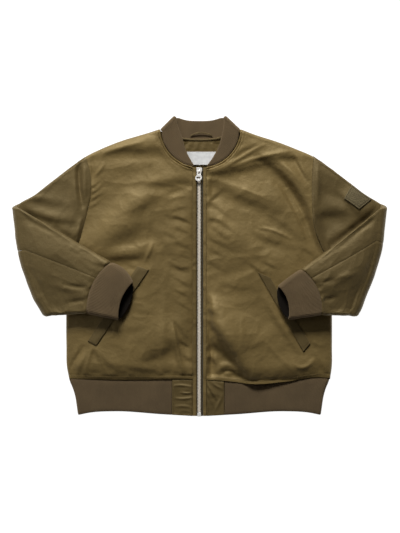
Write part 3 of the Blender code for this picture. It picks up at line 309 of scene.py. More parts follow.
# ---- small mathematics
def read(rows, place, column):
    """Smooth value of a table's column at a place along its first column."""
    table = sorted(rows, key=lambda row: row[0])
    xs = np.array([row[0] for row in table])
    ys = np.array([getattr(row, column) for row in table])
    slopes = np.gradient(ys, xs)
    at = np.clip(place, xs[0], xs[-1])
    i = np.clip(np.searchsorted(xs, at, side="right") - 1, 0, len(xs) - 2)
    span = xs[i + 1] - xs[i]
    t = (at - xs[i]) / span
    start = (1 + 2 * t) * (1 - t) ** 2 * ys[i] + t * (1 - t) ** 2 * span * slopes[i]
    end = t * t * (3 - 2 * t) * ys[i + 1] - t * t * (1 - t) * span * slopes[i + 1]
    return start + end


def mix(a, b, t):
    """Value at a share t of the way from a to b."""
    return a + (b - a) * t


def ease(t):
    """0 below 0 and 1 above 1, with a smooth rise between."""
    t = np.clip(t, 0.0, 1.0)
    return t * t * (3 - 2 * t)


def xyz(x, y, z):
    """Points in one array. Any of the three may be a single number."""
    return np.stack(np.broadcast_arrays(x, y, z), axis=-1).astype(float)


def bell(distance, width):
    """1 at no distance, fading out over the width."""
    return np.exp(-((distance / width) ** 2))


def side_name(side):
    return "right" if side == RIGHT else "left"


def read_either(rows, place, left):
    """Smooth value of a two-sided table, from its left column where left is true."""
    return np.where(left, read(rows, place, "left"), read(rows, place, "right"))


CURVE_STEPS = 8
END_SHARE = 0.12


def curve_place(row, x, y):
    """Distance from a row's curve, share of the way along it and distance to its right."""
    shares = np.linspace(0, 1, CURVE_STEPS + 1)
    start, middle, end = (1 - shares) ** 2, 2 * shares * (1 - shares), shares**2
    px = start * row.x0 + middle * row.x1 + end * row.x2
    py = start * row.y0 + middle * row.y1 + end * row.y2
    nearest = np.full_like(x, 1e9, dtype=float)
    along = np.zeros_like(nearest)
    right = np.zeros_like(nearest)
    for k in range(CURVE_STEPS):
        dx, dy = px[k + 1] - px[k], py[k + 1] - py[k]
        t = np.clip(((x - px[k]) * dx + (y - py[k]) * dy) / (dx * dx + dy * dy), 0, 1)
        gap = np.hypot(x - px[k] - t * dx, y - py[k] - t * dy)
        off = ((x - px[k]) * dy - (y - py[k]) * dx) / math.hypot(dx, dy)
        closer = gap < nearest
        nearest = np.where(closer, gap, nearest)
        right = np.where(closer, off, right)
        along = np.where(closer, (k + t) / CURVE_STEPS, along)
    return nearest, along, right


def end_fade(along):
    """Strength of a crease along its length, weaker towards its ends."""
    return np.sin(np.pi * (END_SHARE + (1 - 2 * END_SHARE) * along))


def fold_height(rows, x, y):
    """Sum of soft ridges and troughs, each fading out towards its ends."""
    total = np.zeros_like(x, dtype=float)
    for row in rows:
        nearest, along, _ = curve_place(row, x, y)
        total = total + row.height * end_fade(along) * bell(nearest, row.width)
    return total


def fall_height(rows, x, y):
    """Sum of falls, each a slope across its line that levels out on both sides."""
    total = np.zeros_like(x, dtype=float)
    for row in rows:
        nearest, along, right = curve_place(row, x, y)
        level_out = bell(nearest, FALL_REACH * row.width)
        lower = 0.5 + 0.5 * np.tanh(right / row.width)
        total = total + row.drop * (row.lift - lower) * end_fade(along) * level_out
    return total


# ---- the body's form
def outline_distance(side, x, y):
    """Distance inwards from the folded edges: the side seam, the shoulder and the arm's top."""
    name = side_name(side)
    reach = np.abs(x)
    below = read(BODY_SIDES, y, name) - reach
    above = np.hypot(UNDERARM[0] - reach, y - UNDERARM[1])
    at_side = np.where(y < UNDERARM[1], below, above)
    inside_neck = np.maximum(SHOULDERS[0].x - reach, 0)
    at_shoulder = (read(SHOULDERS, reach, name) + 0.4 * inside_neck - y) * SHOULDER_SLOPE
    return np.maximum(np.minimum(at_side, at_shoulder), 0)


def rolled(distance, radius):
    """Height gained over a rolled edge of the given radius."""
    return radius * np.sqrt(1 - (1 - np.clip(distance / radius, 0, 1)) ** 2)


def neck_distance(x, y):
    """Distance out from the neck seam."""
    return np.maximum(np.hypot(x - NECK_CENTRE[0], y - NECK_CENTRE[1]) - NECK_RADIUS, 0)


def front_height(side, x, y):
    """Height of the front's outer face."""
    y = np.maximum(y, HEM_SEAM_Y)
    reach = np.abs(x)
    edge = outline_distance(side, x, y)
    height = EDGE_RADIUS + SEAM_GAP / 2 + rolled(edge, EDGE_RADIUS)
    height = height + CROWN * (1 - np.exp(-edge / CROWN_REACH))
    neck = neck_distance(x, y)
    height = height - np.maximum(height - NECK_LEVEL, 0) * np.exp(-neck / NECK_REACH)
    hem = np.maximum(y - read(HEM_SEAM, reach, side_name(side)), 0)
    height = height - np.maximum(height - HEM_LEVEL, 0) * np.exp(-hem / HEM_SETTLE)
    height = height + HEM_PUFF * bell(hem - HEM_PUFF_AT, HEM_PUFF_WIDTH) * ease(edge / 30)
    centre = 1 - np.exp(-np.maximum(reach - PLACKET_INNER, 0) / ZIP_SETTLE)
    height = ZIP_LEVEL + (height - ZIP_LEVEL) * centre
    calm = ease(edge / 14) * ease(hem / 10) * ease(neck / 10) * ease((reach - 9) / 12)
    folds = fold_height(FRONT_FOLDS[side], x, y) + fall_height(FRONT_FALLS[side], x, y)
    return height + calm * folds


def neck_corner(side, angle):
    """Plan point on the neck seam at an angle from its lowest point."""
    x = NECK_CENTRE[0] + side * NECK_RADIUS * np.sin(angle)
    return x, NECK_CENTRE[1] - NECK_RADIUS * np.cos(angle)


def front_surface(side):
    """Surface of a front: u from the zip (0) to the side (1), v from the hem (0) up to 1."""
    name = side_name(side)
    tip_x = float(read(BODY_SIDES, BODY_SIDES[-1].y, name))
    hem_x = float(read(BODY_SIDES, BODY_SIDES[0].y, name))
    zip_angle = math.asin((FRONT_EDGE - side * NECK_CENTRE[0]) / NECK_RADIUS)

    def surface(u, v):
        angle = mix(zip_angle, NECK_POINT_ANGLE, np.clip(u / NECK_SHARE, 0, 1))
        neck_x, neck_y = neck_corner(side, angle)
        out = np.clip((u - NECK_SHARE) / (1 - NECK_SHARE), 0, 1)
        last_x = abs(neck_corner(side, NECK_POINT_ANGLE)[0])
        shoulder_x = mix(last_x, tip_x, out)
        shoulder_y = read(SHOULDERS, shoulder_x, name)
        on_neck = u < NECK_SHARE
        top_x = np.where(on_neck, np.abs(neck_x), shoulder_x)
        top_y = np.where(on_neck, neck_y, shoulder_y)
        low_x = mix(FRONT_EDGE, hem_x, u)
        low_y = read(HEM_SEAM, low_x, name)
        y = mix(low_y + SEAM_GAP / 2, top_y, v)
        edge_x = read(BODY_SIDES, y, name)
        drawn = (top_x - FRONT_EDGE) / (tip_x - FRONT_EDGE)
        share = mix(u, drawn, np.clip(v, 0, 1) ** 4)
        x = side * mix(FRONT_EDGE, edge_x, share)
        return xyz(x, y, front_height(side, x, y))

    return surface


def plan_surface(height, corners):
    """Surface over the four plan corners (near-low, far-low, near-high, far-high)."""
    a, b, c, d = corners

    def surface(u, v):
        x = mix(mix(a[0], b[0], u), mix(c[0], d[0], u), v)
        y = mix(mix(a[1], b[1], u), mix(c[1], d[1], u), v)
        return xyz(x, y, height(x, y))

    return surface


def back_surface(u, v):
    """Outer face of the back: u from the right side (-1) to the left (1), v from hem to neck."""
    left = u > 0
    reach = np.abs(u)
    tip = np.where(left, BODY_SIDES[-1].left, BODY_SIDES[-1].right)
    out = np.clip((reach - NECK_SHARE) / (1 - NECK_SHARE), 0, 1)
    on_neck = reach < NECK_SHARE
    top_x = np.where(on_neck, SHOULDERS[0].x * reach / NECK_SHARE, mix(SHOULDERS[0].x, tip, out))
    shoulder = read_either(SHOULDERS, top_x, left)
    top_y = np.where(on_neck, back_neck_y(top_x) - NECK_GAP, shoulder)
    y = mix(HEM_SEAM_Y + SEAM_GAP / 2, top_y, v)
    edge_x = read_either(BODY_SIDES, y, left)
    share = mix(reach, top_x / tip, np.clip(v, 0, 1) ** 4)
    x = np.sign(u) * edge_x * share
    edge = np.where(left, outline_distance(LEFT, x, y), outline_distance(RIGHT, x, y))
    radius = EDGE_RADIUS - SEAM_GAP / 2
    return xyz(x, y, radius - rolled(edge, radius))


def back_neck_y(x):
    """Back neckline, lowest at the centre."""
    return mix(*BACK_NECK, np.abs(x / SHOULDERS[0].x) ** 2.5)


# ---- rib bands
def hem_surface(p, u):
    """Hem rib: p from the back's centre (0) to the front's tab (3 or -3), u from seam to edge."""
    left = p > 0
    m = np.abs(p)
    half = read(HEM_SIDES, u, "half_width")
    flat = half - HEM_RADIUS
    turn = np.clip(m - 1, 0, 1) * np.pi
    tab = np.where(left, HEM_TAB_X[LEFT], HEM_TAB_X[RIGHT]) + SEAM_GAP
    x = np.where(m < 1, flat * m, flat + HEM_RADIUS * np.sin(turn))
    x = np.where(m > 2, mix(flat, tab, m - 2), x)
    z = HEM_RADIUS * (1 - np.cos(turn))
    seam = read_either(HEM_SEAM, x, left)
    top = mix(HEM_SEAM_Y, seam, ease(2 * m - 3)) - HEM_GAP
    y = mix(top, read(HEM_EDGE, x, "y"), u)
    return xyz(np.sign(p) * x, y, z)


COLLAR_RADIUS = NECK_LEVEL / 2
COLLAR_PEAK_X = (41.6, 40.4)
COLLAR_PEAK_Y = 240.4
COLLAR_BACK = (232.0, 239.4)
COLLAR_BACK_HALF = 39.0
COLLAR_END_ANGLE = math.radians(10)
# How far the fold's start stands off the neck's point, on the left and on the right.
COLLAR_SHIFT = (0.3, -2.4)


def collar_surface(p, u):
    """Collar: p from the back's centre (0) round to the zip (3 or -3), u from seam to free edge."""
    left = p > 0
    sign = np.where(left, 1.0, -1.0)
    m = np.abs(p)
    point = np.stack(neck_corner(1, NECK_POINT_ANGLE))
    fold_seam_x, fold_seam_y = point[0] + np.where(left, *COLLAR_SHIFT), BACK_NECK[1]
    fold_edge_x, fold_edge_y = np.where(left, *COLLAR_PEAK_X), COLLAR_PEAK_Y
    fold_x = mix(fold_seam_x, fold_edge_x, u)
    fold_y = mix(fold_seam_y, fold_edge_y, u)
    run = np.hypot(fold_edge_x - fold_seam_x, fold_edge_y - fold_seam_y)
    out_x = (fold_edge_y - fold_seam_y) / run
    out_y = (fold_seam_x - fold_edge_x) / run
    turn = np.clip(m - 1, 0, 1) * np.pi
    reach = COLLAR_RADIUS * (np.sin(turn) - 1)
    x = fold_x + out_x * reach
    y = fold_y + out_y * reach
    inner_x = fold_x - out_x * COLLAR_RADIUS
    inner_y = fold_y - out_y * COLLAR_RADIUS
    back_x = inner_x * m
    back_seam = back_neck_y(np.minimum(back_x, SHOULDERS[0].x)) + SEAM_GAP / 2
    back_edge = mix(*COLLAR_BACK, (back_x / COLLAR_BACK_HALF) ** 3)
    settle = np.clip(m, 0, 1) ** 6
    back_y = mix(mix(back_seam, back_edge, u), inner_y, settle)
    angle = mix(NECK_POINT_ANGLE, COLLAR_END_ANGLE, np.clip(m - 2, 0, 1))
    ring = NECK_RADIUS - NECK_GAP
    seam_x = sign * NECK_CENTRE[0] + ring * np.sin(angle)
    seam_y = NECK_CENTRE[1] - ring * np.cos(angle)
    edge_y = mix(COLLAR_EDGE[-1].y, COLLAR_EDGE[0].y, np.clip(m - 2, 0, 1))
    edge_x = read_either(COLLAR_EDGE, edge_y, left)
    leave = ease((m - 2) * 4)
    front_x = mix(inner_x, mix(seam_x, edge_x, u), leave)
    front_y = mix(inner_y, mix(seam_y, edge_y, u), leave)
    x = np.where(m < 1, back_x, np.where(m > 2, front_x, x))
    y = np.where(m < 1, back_y, np.where(m > 2, front_y, y))
    z = COLLAR_RADIUS * (1 - np.cos(turn))
    return xyz(sign * x, y, z)


# ---- the sleeves' form
def ring_offset(a, width, radius):
    """Distance across a flattened tube and height off its middle, for a ring position a.

    a is 0 on the upper edge and 3 (or -3) on the lower edge. From 1 to 2 it crosses the face
    that turns to the front, and from -1 to -2 the face that turns to the back.
    """
    m = np.abs(a)
    near = m * np.pi / 2
    far = (3 - m) * np.pi / 2
    across = np.where(m < 1, radius * (1 - np.cos(near)), radius + (m - 1) * (width - 2 * radius))
    across = np.where(m > 2, width - radius * (1 - np.cos(far)), across)
    height = np.where(m < 1, radius * np.sin(near), radius)
    height = np.where(m > 2, radius * np.sin(far), height)
    return across, np.sign(a) * height


def crown_share(across, width):
    """Share of the crown reached at a distance across a face, rising in from both edges."""
    edge = np.minimum(across, width - across)
    return 1 - np.exp(-np.maximum(edge, 0) / CROWN_REACH)


def elbow_line(side, share):
    """Bend axis in plan and the outward direction there, for a share down the elbow."""
    name = side_name(side)
    y = mix(ELBOW_TOP_Y, ELBOW_BOTTOM_Y, share)
    x = read(ELBOWS, y, name)
    slope = (read(ELBOWS, y + 2, name) - read(ELBOWS, y - 2, name)) / 4
    length = np.hypot(1, slope)
    out_x, out_y = 1 / length, -slope / length
    reach = 2 * EDGE_RADIUS + BEND_INNER
    return x - out_x * reach, y - out_y * reach, out_x, out_y


def between(start, end, share):
    """Plan point at a share of the way from one named point to another."""
    return mix(start.x, end.x, share), mix(start.y, end.y, share)


def seam_line(side, share):
    return between(SLEEVES[side].seam_top, SLEEVES[side].seam_low, share)


def mouth_line(side, share):
    return between(SLEEVES[side].mouth_top, SLEEVES[side].mouth_low, share)


def cuff_axis(side):
    """Unit direction in plan from the cuff's seam to its mouth."""
    seam_x, seam_y = seam_line(side, 0.5)
    mouth_x, mouth_y = mouth_line(side, 0.5)
    length = math.hypot(mouth_x - seam_x, mouth_y - seam_y)
    return (mouth_x - seam_x) / length, (mouth_y - seam_y) / length


def bowed(share, level, upper, lower):
    """Shift along the cuff's axis that bows a ring: upper on its top face, lower beneath."""
    bow = np.where(level > 0, upper, lower) * np.abs(level)
    return 4 * share * (1 - share) * bow


def sleeve_surface(side):
    """Sleeve: w from the armhole (0) over the bend (1 to 2) to the cuff seam (3), a round it."""
    name = side_name(side)
    axis_x, axis_y = cuff_axis(side)
    middle = BEND_INNER + EDGE_RADIUS

    def surface(w, a):
        v = np.clip(w - 2, 0, None)
        on_arm = w < 1
        on_forearm = w > 2
        radius = np.where(on_forearm, read(FOREARM, v, "radius"), EDGE_RADIUS)
        width = np.where(on_forearm, mix(ELBOW_WIDTH, WRIST_WIDTH, v), ARM_WIDTH)
        across, lift = ring_offset(a, width, radius)
        share = across / width
        level = lift / radius

        arm_y = mix(BODY_SIDES[-1].y, UNDERARM[1] + ARMHOLE_GAP, share)
        arm_x = read(BODY_SIDES, arm_y, name) + ARMHOLE_GAP
        bend_x, bend_y, out_x, out_y = elbow_line(side, share)
        slide = BEND_SLIDE * (2 * np.clip(w - 1, 0, 1) - 1)
        bend_x = bend_x + out_y * slide
        bend_y = bend_y - out_x * slide
        end_x, end_y = seam_line(side, share)
        shift = bowed(share, -level, *SEAM_BOW)
        end_x = end_x + axis_x * (shift - SEAM_GAP)
        end_y = end_y + axis_y * (shift - SEAM_GAP)

        arm = np.clip(w, None, 1)
        fore = np.clip(v, 0, None)
        sag = SLEEVES[side].sag * 4 * fore * (1 - fore) * (1 - share)
        x = np.where(on_arm, mix(arm_x, bend_x, arm), mix(bend_x, end_x, fore) - 0.5 * sag)
        dip_along = (arm / ARM_DIP_AT) ** 2 * ease((1 - arm) / (1 - ARM_DIP_AT))
        dip = SLEEVES[side].dip * dip_along * (1 - share) ** 3
        y = np.where(on_arm, mix(arm_y, bend_y, arm) - dip, mix(bend_y, end_y, fore) - sag)

        crown = crown_share(across, width)
        arm_crown = np.where(a > 0, ARM_CROWN * ease((1 - arm) * 2.5) * crown, 0)
        fore_crown = np.where(a < 0, read(FOREARM, fore, "crown") * crown, 0)
        wrinkle = ease(np.minimum(across, width - across) / 14)
        plan_x, plan_y = side * x, y
        placed = fold_height(SLEEVE_FOLDS[side], plan_x, plan_y)
        folds = wrinkle * (placed + fall_height(SLEEVE_FALLS[side], plan_x, plan_y))
        arm_folds = np.where(a > 0, folds * ease(w * 12) * ease((1 - w) * 8), 0)
        fore_folds = np.where(a < 0, folds * ease(fore * 8) * ease((1 - fore) * 12), 0)

        body = front_height(side, plan_x, plan_y)
        own = EDGE_RADIUS + lift + arm_crown
        joined = np.where(a > 0, mix(body, own, ease(w / 0.35)), own)
        arm_z = np.maximum(joined + arm_folds, 0)
        turn = np.clip(w - 1, 0, 1) * np.pi - np.pi / 2
        radial = middle - lift
        bend_axis_z = 2 * EDGE_RADIUS + BEND_INNER
        bend_z = bend_axis_z + radial * np.sin(turn)
        fore_z = read(FOREARM, fore, "base") + radius - lift + fore_crown + fore_folds
        z = np.where(on_arm, arm_z, np.where(on_forearm, fore_z, bend_z))
        bulge = np.where(on_arm | on_forearm, 0, radial * np.cos(turn))
        return xyz(side * (x + out_x * bulge), y + out_y * bulge, z)

    return surface


def cuff_surface(side):
    """Cuff: w from its seam (0) to its mouth (1), a round it as on the sleeve."""
    axis_x, axis_y = cuff_axis(side)
    spec = SLEEVES[side]

    def surface(w, a):
        width = mix(WRIST_WIDTH, MOUTH_WIDTH, w)
        across, lift = ring_offset(a, width, CUFF_RADIUS)
        share = across / width
        level = -lift / CUFF_RADIUS
        seam_x, seam_y = seam_line(side, share)
        mouth_x, mouth_y = mouth_line(side, share)
        shift = mix(bowed(share, level, *SEAM_BOW), bowed(share, level, *MOUTH_BOW), w)
        puff = spec.bulge * 4 * w * (1 - w) * (1 - share) ** 2
        x = mix(seam_x, mouth_x, w) + axis_x * shift - 0.45 * puff
        y = mix(seam_y, mouth_y, w) + axis_y * shift + 0.9 * puff
        crown = np.where(a < 0, CUFF_CROWN * crown_share(across, width), 0)
        z = CUFF_BASE + CUFF_RADIUS - lift + crown + CUFF_RISE * w
        return xyz(side * x, y, z)

    return surface


# ---- fine creases
# Creases too small for the solids.
CREASES = {
    RIGHT: folds(
        (-166, 143, -160, 151, -153, 160, 1.6, 3), (-170, 172, -171, 150, -169, 130, -1.2, 2.6),
        (-86, 8, -80, 20, -75, 36, 1.8, 3), (-42, -84, -39, -126, -27, -164, 1.8, 2.4),
        (-204, -160, -196, -146, -186, -130, -1.6, 3.2),
        (-168, -126, -176, -142, -182, -168, 1.4, 3), (-164, -128, -160, -146, -150, -168, 1.2, 3),
        (-92, 198, -120, 192, -150, 180, 1.4, 4), (-152, 163, -110, 163, -64, 167, 0.6, 6),
    ),
    LEFT: folds(
        (44, 158, 72, 178, 104, 194, 1.8, 3), (52, 158, 86, 173, 140, 182, 2.2, 3.4),
        (124, 126, 146, 96, 166, 46, 1.6, 2.6), (140, 122, 160, 84, 175, 48, 1.4, 2.8),
        (16, 140, 60, 128, 118, 102, 0.7, 3), (98, 60, 116, 60, 144, 44, 1.4, 2.6),
        (58, -22, 74, -14, 94, -5, 0.5, 3.2), (148, -156, 166, -170, 182, -150, 1.8, 3.4),
        (108, -122, 124, -144, 150, -166, 1.4, 4), (155, 172, 162, 156, 172, 140, 1.6, 3),
        (36, -172, 46, -163, 56, -173, -1.4, 2.4), (106, -52, 128, -90, 154, -132, 1.6, 5),
    ),
}
CREASE_FALLS = {
    RIGHT: falls(
        (-175, 113, -166, 117, -156, 127, 2.0, 2), (-175, 123, -168, 126, -160, 134, 1.6, 2),
        (-174, 103, -166, 107, -156, 115, 1.6, 2), (-173, 93, -166, 96, -158, 104, 1.2, 2),
        (-46, 78, -30, 77, -15, 68, 3.0, 2.4), (-58, 112, -40, 122, -20, 125, 1.2, 2.6),
        (-52, 100, -36, 108, -18, 111, 1.1, 2.4), (-46, 86, -32, 93, -17, 94, 1.1, 2.4),
        (-42, 60, -30, 58, -15, 51, 1.3, 2.4), (-56, 52, -46, 50, -34, 38, 1.4, 3),
        (-40, 36, -30, 34, -15, 28, 1.1, 2.2), (-38, 18, -28, 16, -15, 12, 1.0, 2.2),
        (-44, 2, -30, -8, -17, -3, 3.4, 3), (-38, -20, -28, -26, -16, -34, 1.2, 2),
        (-40, -38, -30, -43, -16, -50, 1.5, 2.2), (-36, -57, -28, -62, -16, -70, 1.4, 2.2),
        (-42, -84, -32, -98, -22, -116, 2.8, 3), (-32, -118, -24, -126, -15, -130, 2.0, 2.4),
        (-30, -138, -24, -146, -15, -150, 1.6, 2.4), (-45, -100, -43, -132, -31, -166, 2.0, 2.6),
        (-96, -148, -76, -150, -60, -140, 1.6, 4), (-120, -160, -100, -166, -80, -166, 1.4, 3),
        (-114, 2, -103, -4, -92, -5, 1.8, 2.4), (-128, -100, -108, -104, -84, -96, 1.4, 5),
        (-104, -70, -92, -76, -72, -74, 1.2, 4), (-80, 66, -72, 50, -62, 42, 1.6, 5),
    ),
    LEFT: falls(
        (52, 174, 72, 187, 100, 196, 2.2, 3), (40, 160, 68, 169, 106, 178, 1.6, 3),
        (15, 103, 24, 109, 33, 118, 2.4, 2.4), (18, 100, 32, 90, 54, 71, 2.0, 2.6),
        (14, 74, 30, 76, 54, 54, 2.8, 2.8), (16, 64, 30, 54, 50, 37, 1.6, 2.6),
        (14, 43, 32, 37, 56, 23, 2.0, 2.8), (14, 28, 26, 21, 42, 13, 1.2, 2.4),
        (14, 6, 26, 0, 40, -10, 1.2, 2.6), (104, 84, 126, 72, 152, 50, 1.8, 4),
        (164, 28, 172, 24, 182, 16, 2.2, 3), (80, 3, 91, -5, 100, -14, 2.6, 2.6),
        (105, 5, 112, 0, 121, -3, 2.0, 2.2), (200, -174, 196, -156, 186, -144, -3.2, 3.2),
        (12, -120, 22, -136, 30, -160, -2.2, 4), (11, -148, 15, -156, 22, -164, 1.6, 2.4),
        (40, -30, 58, -38, 80, -36, 1.6, 4), (44, -62, 60, -66, 84, -58, 1.3, 4),
        (70, -128, 88, -130, 106, -120, 1.6, 4), (168, -118, 178, -126, 190, -128, 1.4, 3),
        (104, -62, 124, -96, 148, -128, 2.6, 4.5), (12, -66, 22, -72, 34, -86, 5.0, 6),
        (12, -92, 22, -98, 34, -112, 5.0, 6), (12, -118, 22, -124, 36, -140, 5.0, 6),
        (12, -144, 22, -150, 34, -164, 4.5, 5),
    ),
}
SLEEVE_CREASES = {
    RIGHT: folds(
        (-184, 166, -182, 140, -183, 104, 1.4, 3.4), (-196, 164, -199, 134, -197, 104, 1.2, 4.0),
        (-280, 108, -262, 112, -238, 106, 1.0, 5.0), (-284, 80, -262, 76, -238, 62, 1.2, 5.0),
        (-270, -6, -252, -18, -240, -40, 1.0, 6.0), (-232, -30, -214, -36, -192, -36, 1.2, 5.0),
    ),
    LEFT: folds(
        (186, 160, 188, 132, 187, 104, 1.2, 4.0), (196, 120, 206, 112, 222, 108, -1.0, 6.0),
        (284, 66, 262, 58, 238, 42, 1.0, 5.0), (276, 4, 262, -16, 252, -44, 1.0, 6.0),
        (250, -10, 234, -16, 216, -18, 1.2, 5.0),
    ),
}
TAB_CREASES = {
    RIGHT: folds(
        (-29, -202, -20, -204, -12, -202, 1.3, 1.7), (-38, -211, -25, -213, -12, -210, 1.2, 2.0),
        (-40, -191, -27, -189, -12, -193, 1.2, 2.0), (-36, -224, -24, -222, -13, -226, 1.0, 2.2),
    ),
    LEFT: folds(
        (12, -187, 18, -196, 27, -212, 2.0, 2.3), (12, -199, 17, -210, 22, -224, 1.5, 2.2),
        (22, -187, 27, -192, 36, -196, 1.2, 2.2), (26, -228, 31, -220, 36, -206, 1.0, 2.6),
    ),
}

# ---- fine relief
LATTICE = (61, 67)
LATTICE_START = 400.0
# First seed of each kind of unevenness. Where it has sides, the right one's is one less and the
# left one's one more.
SEEDS = {
    "patch": 7, "front": 11, "facing": 15, "label": 17, "zip_puckers": 21, "hem_puckers": 31,
    "arm_puckers": 41, "placket": 45, "neck_puckers": 51, "welt": 57, "cuff": 61, "hem": 63,
    "collar": 64, "tab_puckers": 65, "tab": 67, "back": 71, "sleeve": 81, "cuff_puckers": 91,
    "armhole_puckers": 95, "elbow": 99,
}
HEM_STRIP = 6.0
HEM_GROOVE_WIDTH = 1.1
WELT_HALF_WIDTH = 7.5
WELT_FADE = 3.5
# The neck seam's two ridges and the stitched groove between them, by distance from the seam.
Ridge = namedtuple("Ridge", "offset width height")
NECK_RIDGES = (Ridge(1.7, 0.8, 1.0), Ridge(3.4, 0.7, -1.1), Ridge(5.2, 1.1, 1.2))


def lattice_noise(x, y, size, seed):
    """Smooth noise from -1 to 1 whose bumps are about size across."""
    values = np.random.default_rng(seed).uniform(-1, 1, LATTICE)
    gx, gy = x / size + LATTICE_START, y / size + LATTICE_START
    i, j = np.floor(gx).astype(int), np.floor(gy).astype(int)
    fx, fy = ease(gx - i), ease(gy - j)

    def corner(right, up):
        return values[(i + right) % LATTICE[0], (j + up) % LATTICE[1]]

    low = mix(corner(0, 0), corner(1, 0), fx)
    high = mix(corner(0, 1), corner(1, 1), fx)
    return mix(low, high, fy)


def crumple(x, y, seed):
    """Soft unevenness of padded satin: broad swells and fainter pinched lines."""
    bent_x = x + 9 * lattice_noise(x, y, 52, seed)
    bent_y = y + 9 * lattice_noise(x, y, 47, seed + 1)
    swell = lattice_noise(bent_x, bent_y, 38, seed + 2)
    pinch = 1 - 2 * np.sqrt(np.abs(lattice_noise(bent_x, bent_y, 24, seed + 3)) + 0.01)
    fine = lattice_noise(bent_x, bent_y, 9, seed + 4)
    return 0.72 * swell + 0.45 * pinch + 0.17 * fine


def puckers(distance, along, reach, pitch, seed):
    """Short ripples that run away from a seam and die out."""
    ripple = lattice_noise(along, distance * 0.16, pitch, seed)
    strength = 0.55 + 0.45 * lattice_noise(along, np.zeros_like(along), pitch * 6, seed + 1)
    return ripple * strength * bell(distance, reach)


def front_detail(side, x, y):
    """Fine relief of a front, added to the height of its solid."""
    reach = np.abs(x)
    edge = outline_distance(side, x, y)
    zip_side = np.maximum(reach - FRONT_EDGE, 0)
    hem = np.maximum(y - read(HEM_SEAM, reach, side_name(side)), 0)
    neck = neck_distance(x, y)
    turn = np.arctan2(x - NECK_CENTRE[0], NECK_CENTRE[1] - y) * NECK_RADIUS
    strip = ease((hem - HEM_STRIP) / 4)
    calm = ease(edge / 9) * ease((neck - 2) / 8) * strip * ease(zip_side / 5)
    placed = fold_height(CREASES[side], x, y) + fall_height(CREASE_FALLS[side], x, y)
    relief = calm * (placed + 1.05 * crumple(x, y, SEEDS["front"] + side))
    beside_zip = puckers(zip_side, y, 15, 8.5, SEEDS["zip_puckers"] + side)
    relief = relief + 1.5 * strip * ease(edge / 6) * beside_zip
    over_hem = puckers(hem - HEM_STRIP, x, 13, 9.0, SEEDS["hem_puckers"] + side)
    relief = relief + 1.5 * ease(edge / 8) * strip * over_hem
    upper = ease((y - UNDERARM[1] - 25) / 30) * ease((150 - y + 0.2 * reach) / 30)
    at_arm = puckers(edge, y, 14, 10.0, SEEDS["arm_puckers"] + side)
    relief = relief + 1.1 * upper * ease(edge / 3) * at_arm
    at_neck = puckers(neck, turn, 10, 9.0, SEEDS["neck_puckers"] + side)
    relief = relief + 0.7 * at_neck * ease(neck / 3)
    ridges = sum(ridge.height * bell(neck - ridge.offset, ridge.width) for ridge in NECK_RIDGES)
    relief = relief + ridges * ease(edge / 5)
    relief = relief - 0.6 * bell(hem - HEM_STRIP, HEM_GROOVE_WIDTH)
    return relief * (1 - 0.85 * welt_share(side, x, y))


def welt_share(side, x, y):
    """1 under a pocket welt, fading out round it."""
    low_a, low_b, high_a, high_b = WELTS[side]
    start_x, start_y = between(low_a, low_b, 0.5)
    end_x, end_y = between(high_a, high_b, 0.5)
    run_x, run_y = end_x - start_x, end_y - start_y
    length = math.hypot(run_x, run_y)
    along = ((x - start_x) * run_x + (y - start_y) * run_y) / length
    off = np.abs((x - start_x) * run_y - (y - start_y) * run_x) / length
    beyond = np.maximum(np.maximum(-along, along - length), 0)
    return bell(np.hypot(np.maximum(off - WELT_HALF_WIDTH, 0), beyond), WELT_FADE)


def front_top(side, x, y):
    return front_height(side, x, y) + front_detail(side, x, y)


# ---- laying cloth
# A laid grid: its parameters, points, outward normals and the distances run along both ways.
Laid = namedtuple("Laid", "u v point normal s t")
SHARP_CLOTH = math.radians(70)
SHARP_METAL = math.radians(35)


def span(point, axis):
    """Distance run along an axis of a grid or line of points."""
    steps = np.linalg.norm(np.diff(point, axis=axis), axis=-1)
    start = np.zeros_like(np.take(steps, [0], axis=axis))
    return np.concatenate([start, np.cumsum(steps, axis=axis)], axis=axis)


def lay(surface, us, vs, flip=False, closed=False):
    """Grid of points on a surface. flip turns its normals over, closed joins v's ends."""
    u, v = np.meshgrid(us, vs, indexing="ij")
    point = surface(u, v)
    along = np.gradient(point, axis=0)
    if closed:
        across = (np.roll(point, -1, axis=1) - np.roll(point, 1, axis=1)) / 2
    else:
        across = np.gradient(point, axis=1)
    normal = np.cross(along, across)
    normal = normal / np.maximum(np.linalg.norm(normal, axis=-1, keepdims=True), 1e-9)
    if flip:
        normal = -normal
    return Laid(u, v, point, normal, span(point, 0), span(point, 1))


def even(surface, low, high, step):
    """Values from low to high that lie about step apart along the surface's middle line."""
    fine = np.linspace(low, high, 2400)
    run = span(surface(fine, np.full_like(fine, 0.5)), 0)
    count = int(round(run[-1] / step))
    return np.interp(np.linspace(0, run[-1], count + 1), run, fine)


def crowded(count, rest, extra):
    """Even shares from 0 up to 1 - rest, then more that crowd together towards 1."""
    tail = 1 - rest * (1 - np.linspace(0, 1, extra)[1:]) ** 1.6
    return np.concatenate([np.linspace(0, 1 - rest, count), tail])


def dense_ends(count, length, radius, low=True):
    """Even shares from 0 to 1 with closer ones over rounded ends of a given radius."""
    marks = np.array([0.0, 0.12, 0.3, 0.6, 1.0]) * radius / length
    middle = np.linspace(marks[-1] if low else 0, 1 - marks[-1], count)
    return np.concatenate([marks[:-1] if low else [], middle, (1 - marks[:-1])[::-1]])


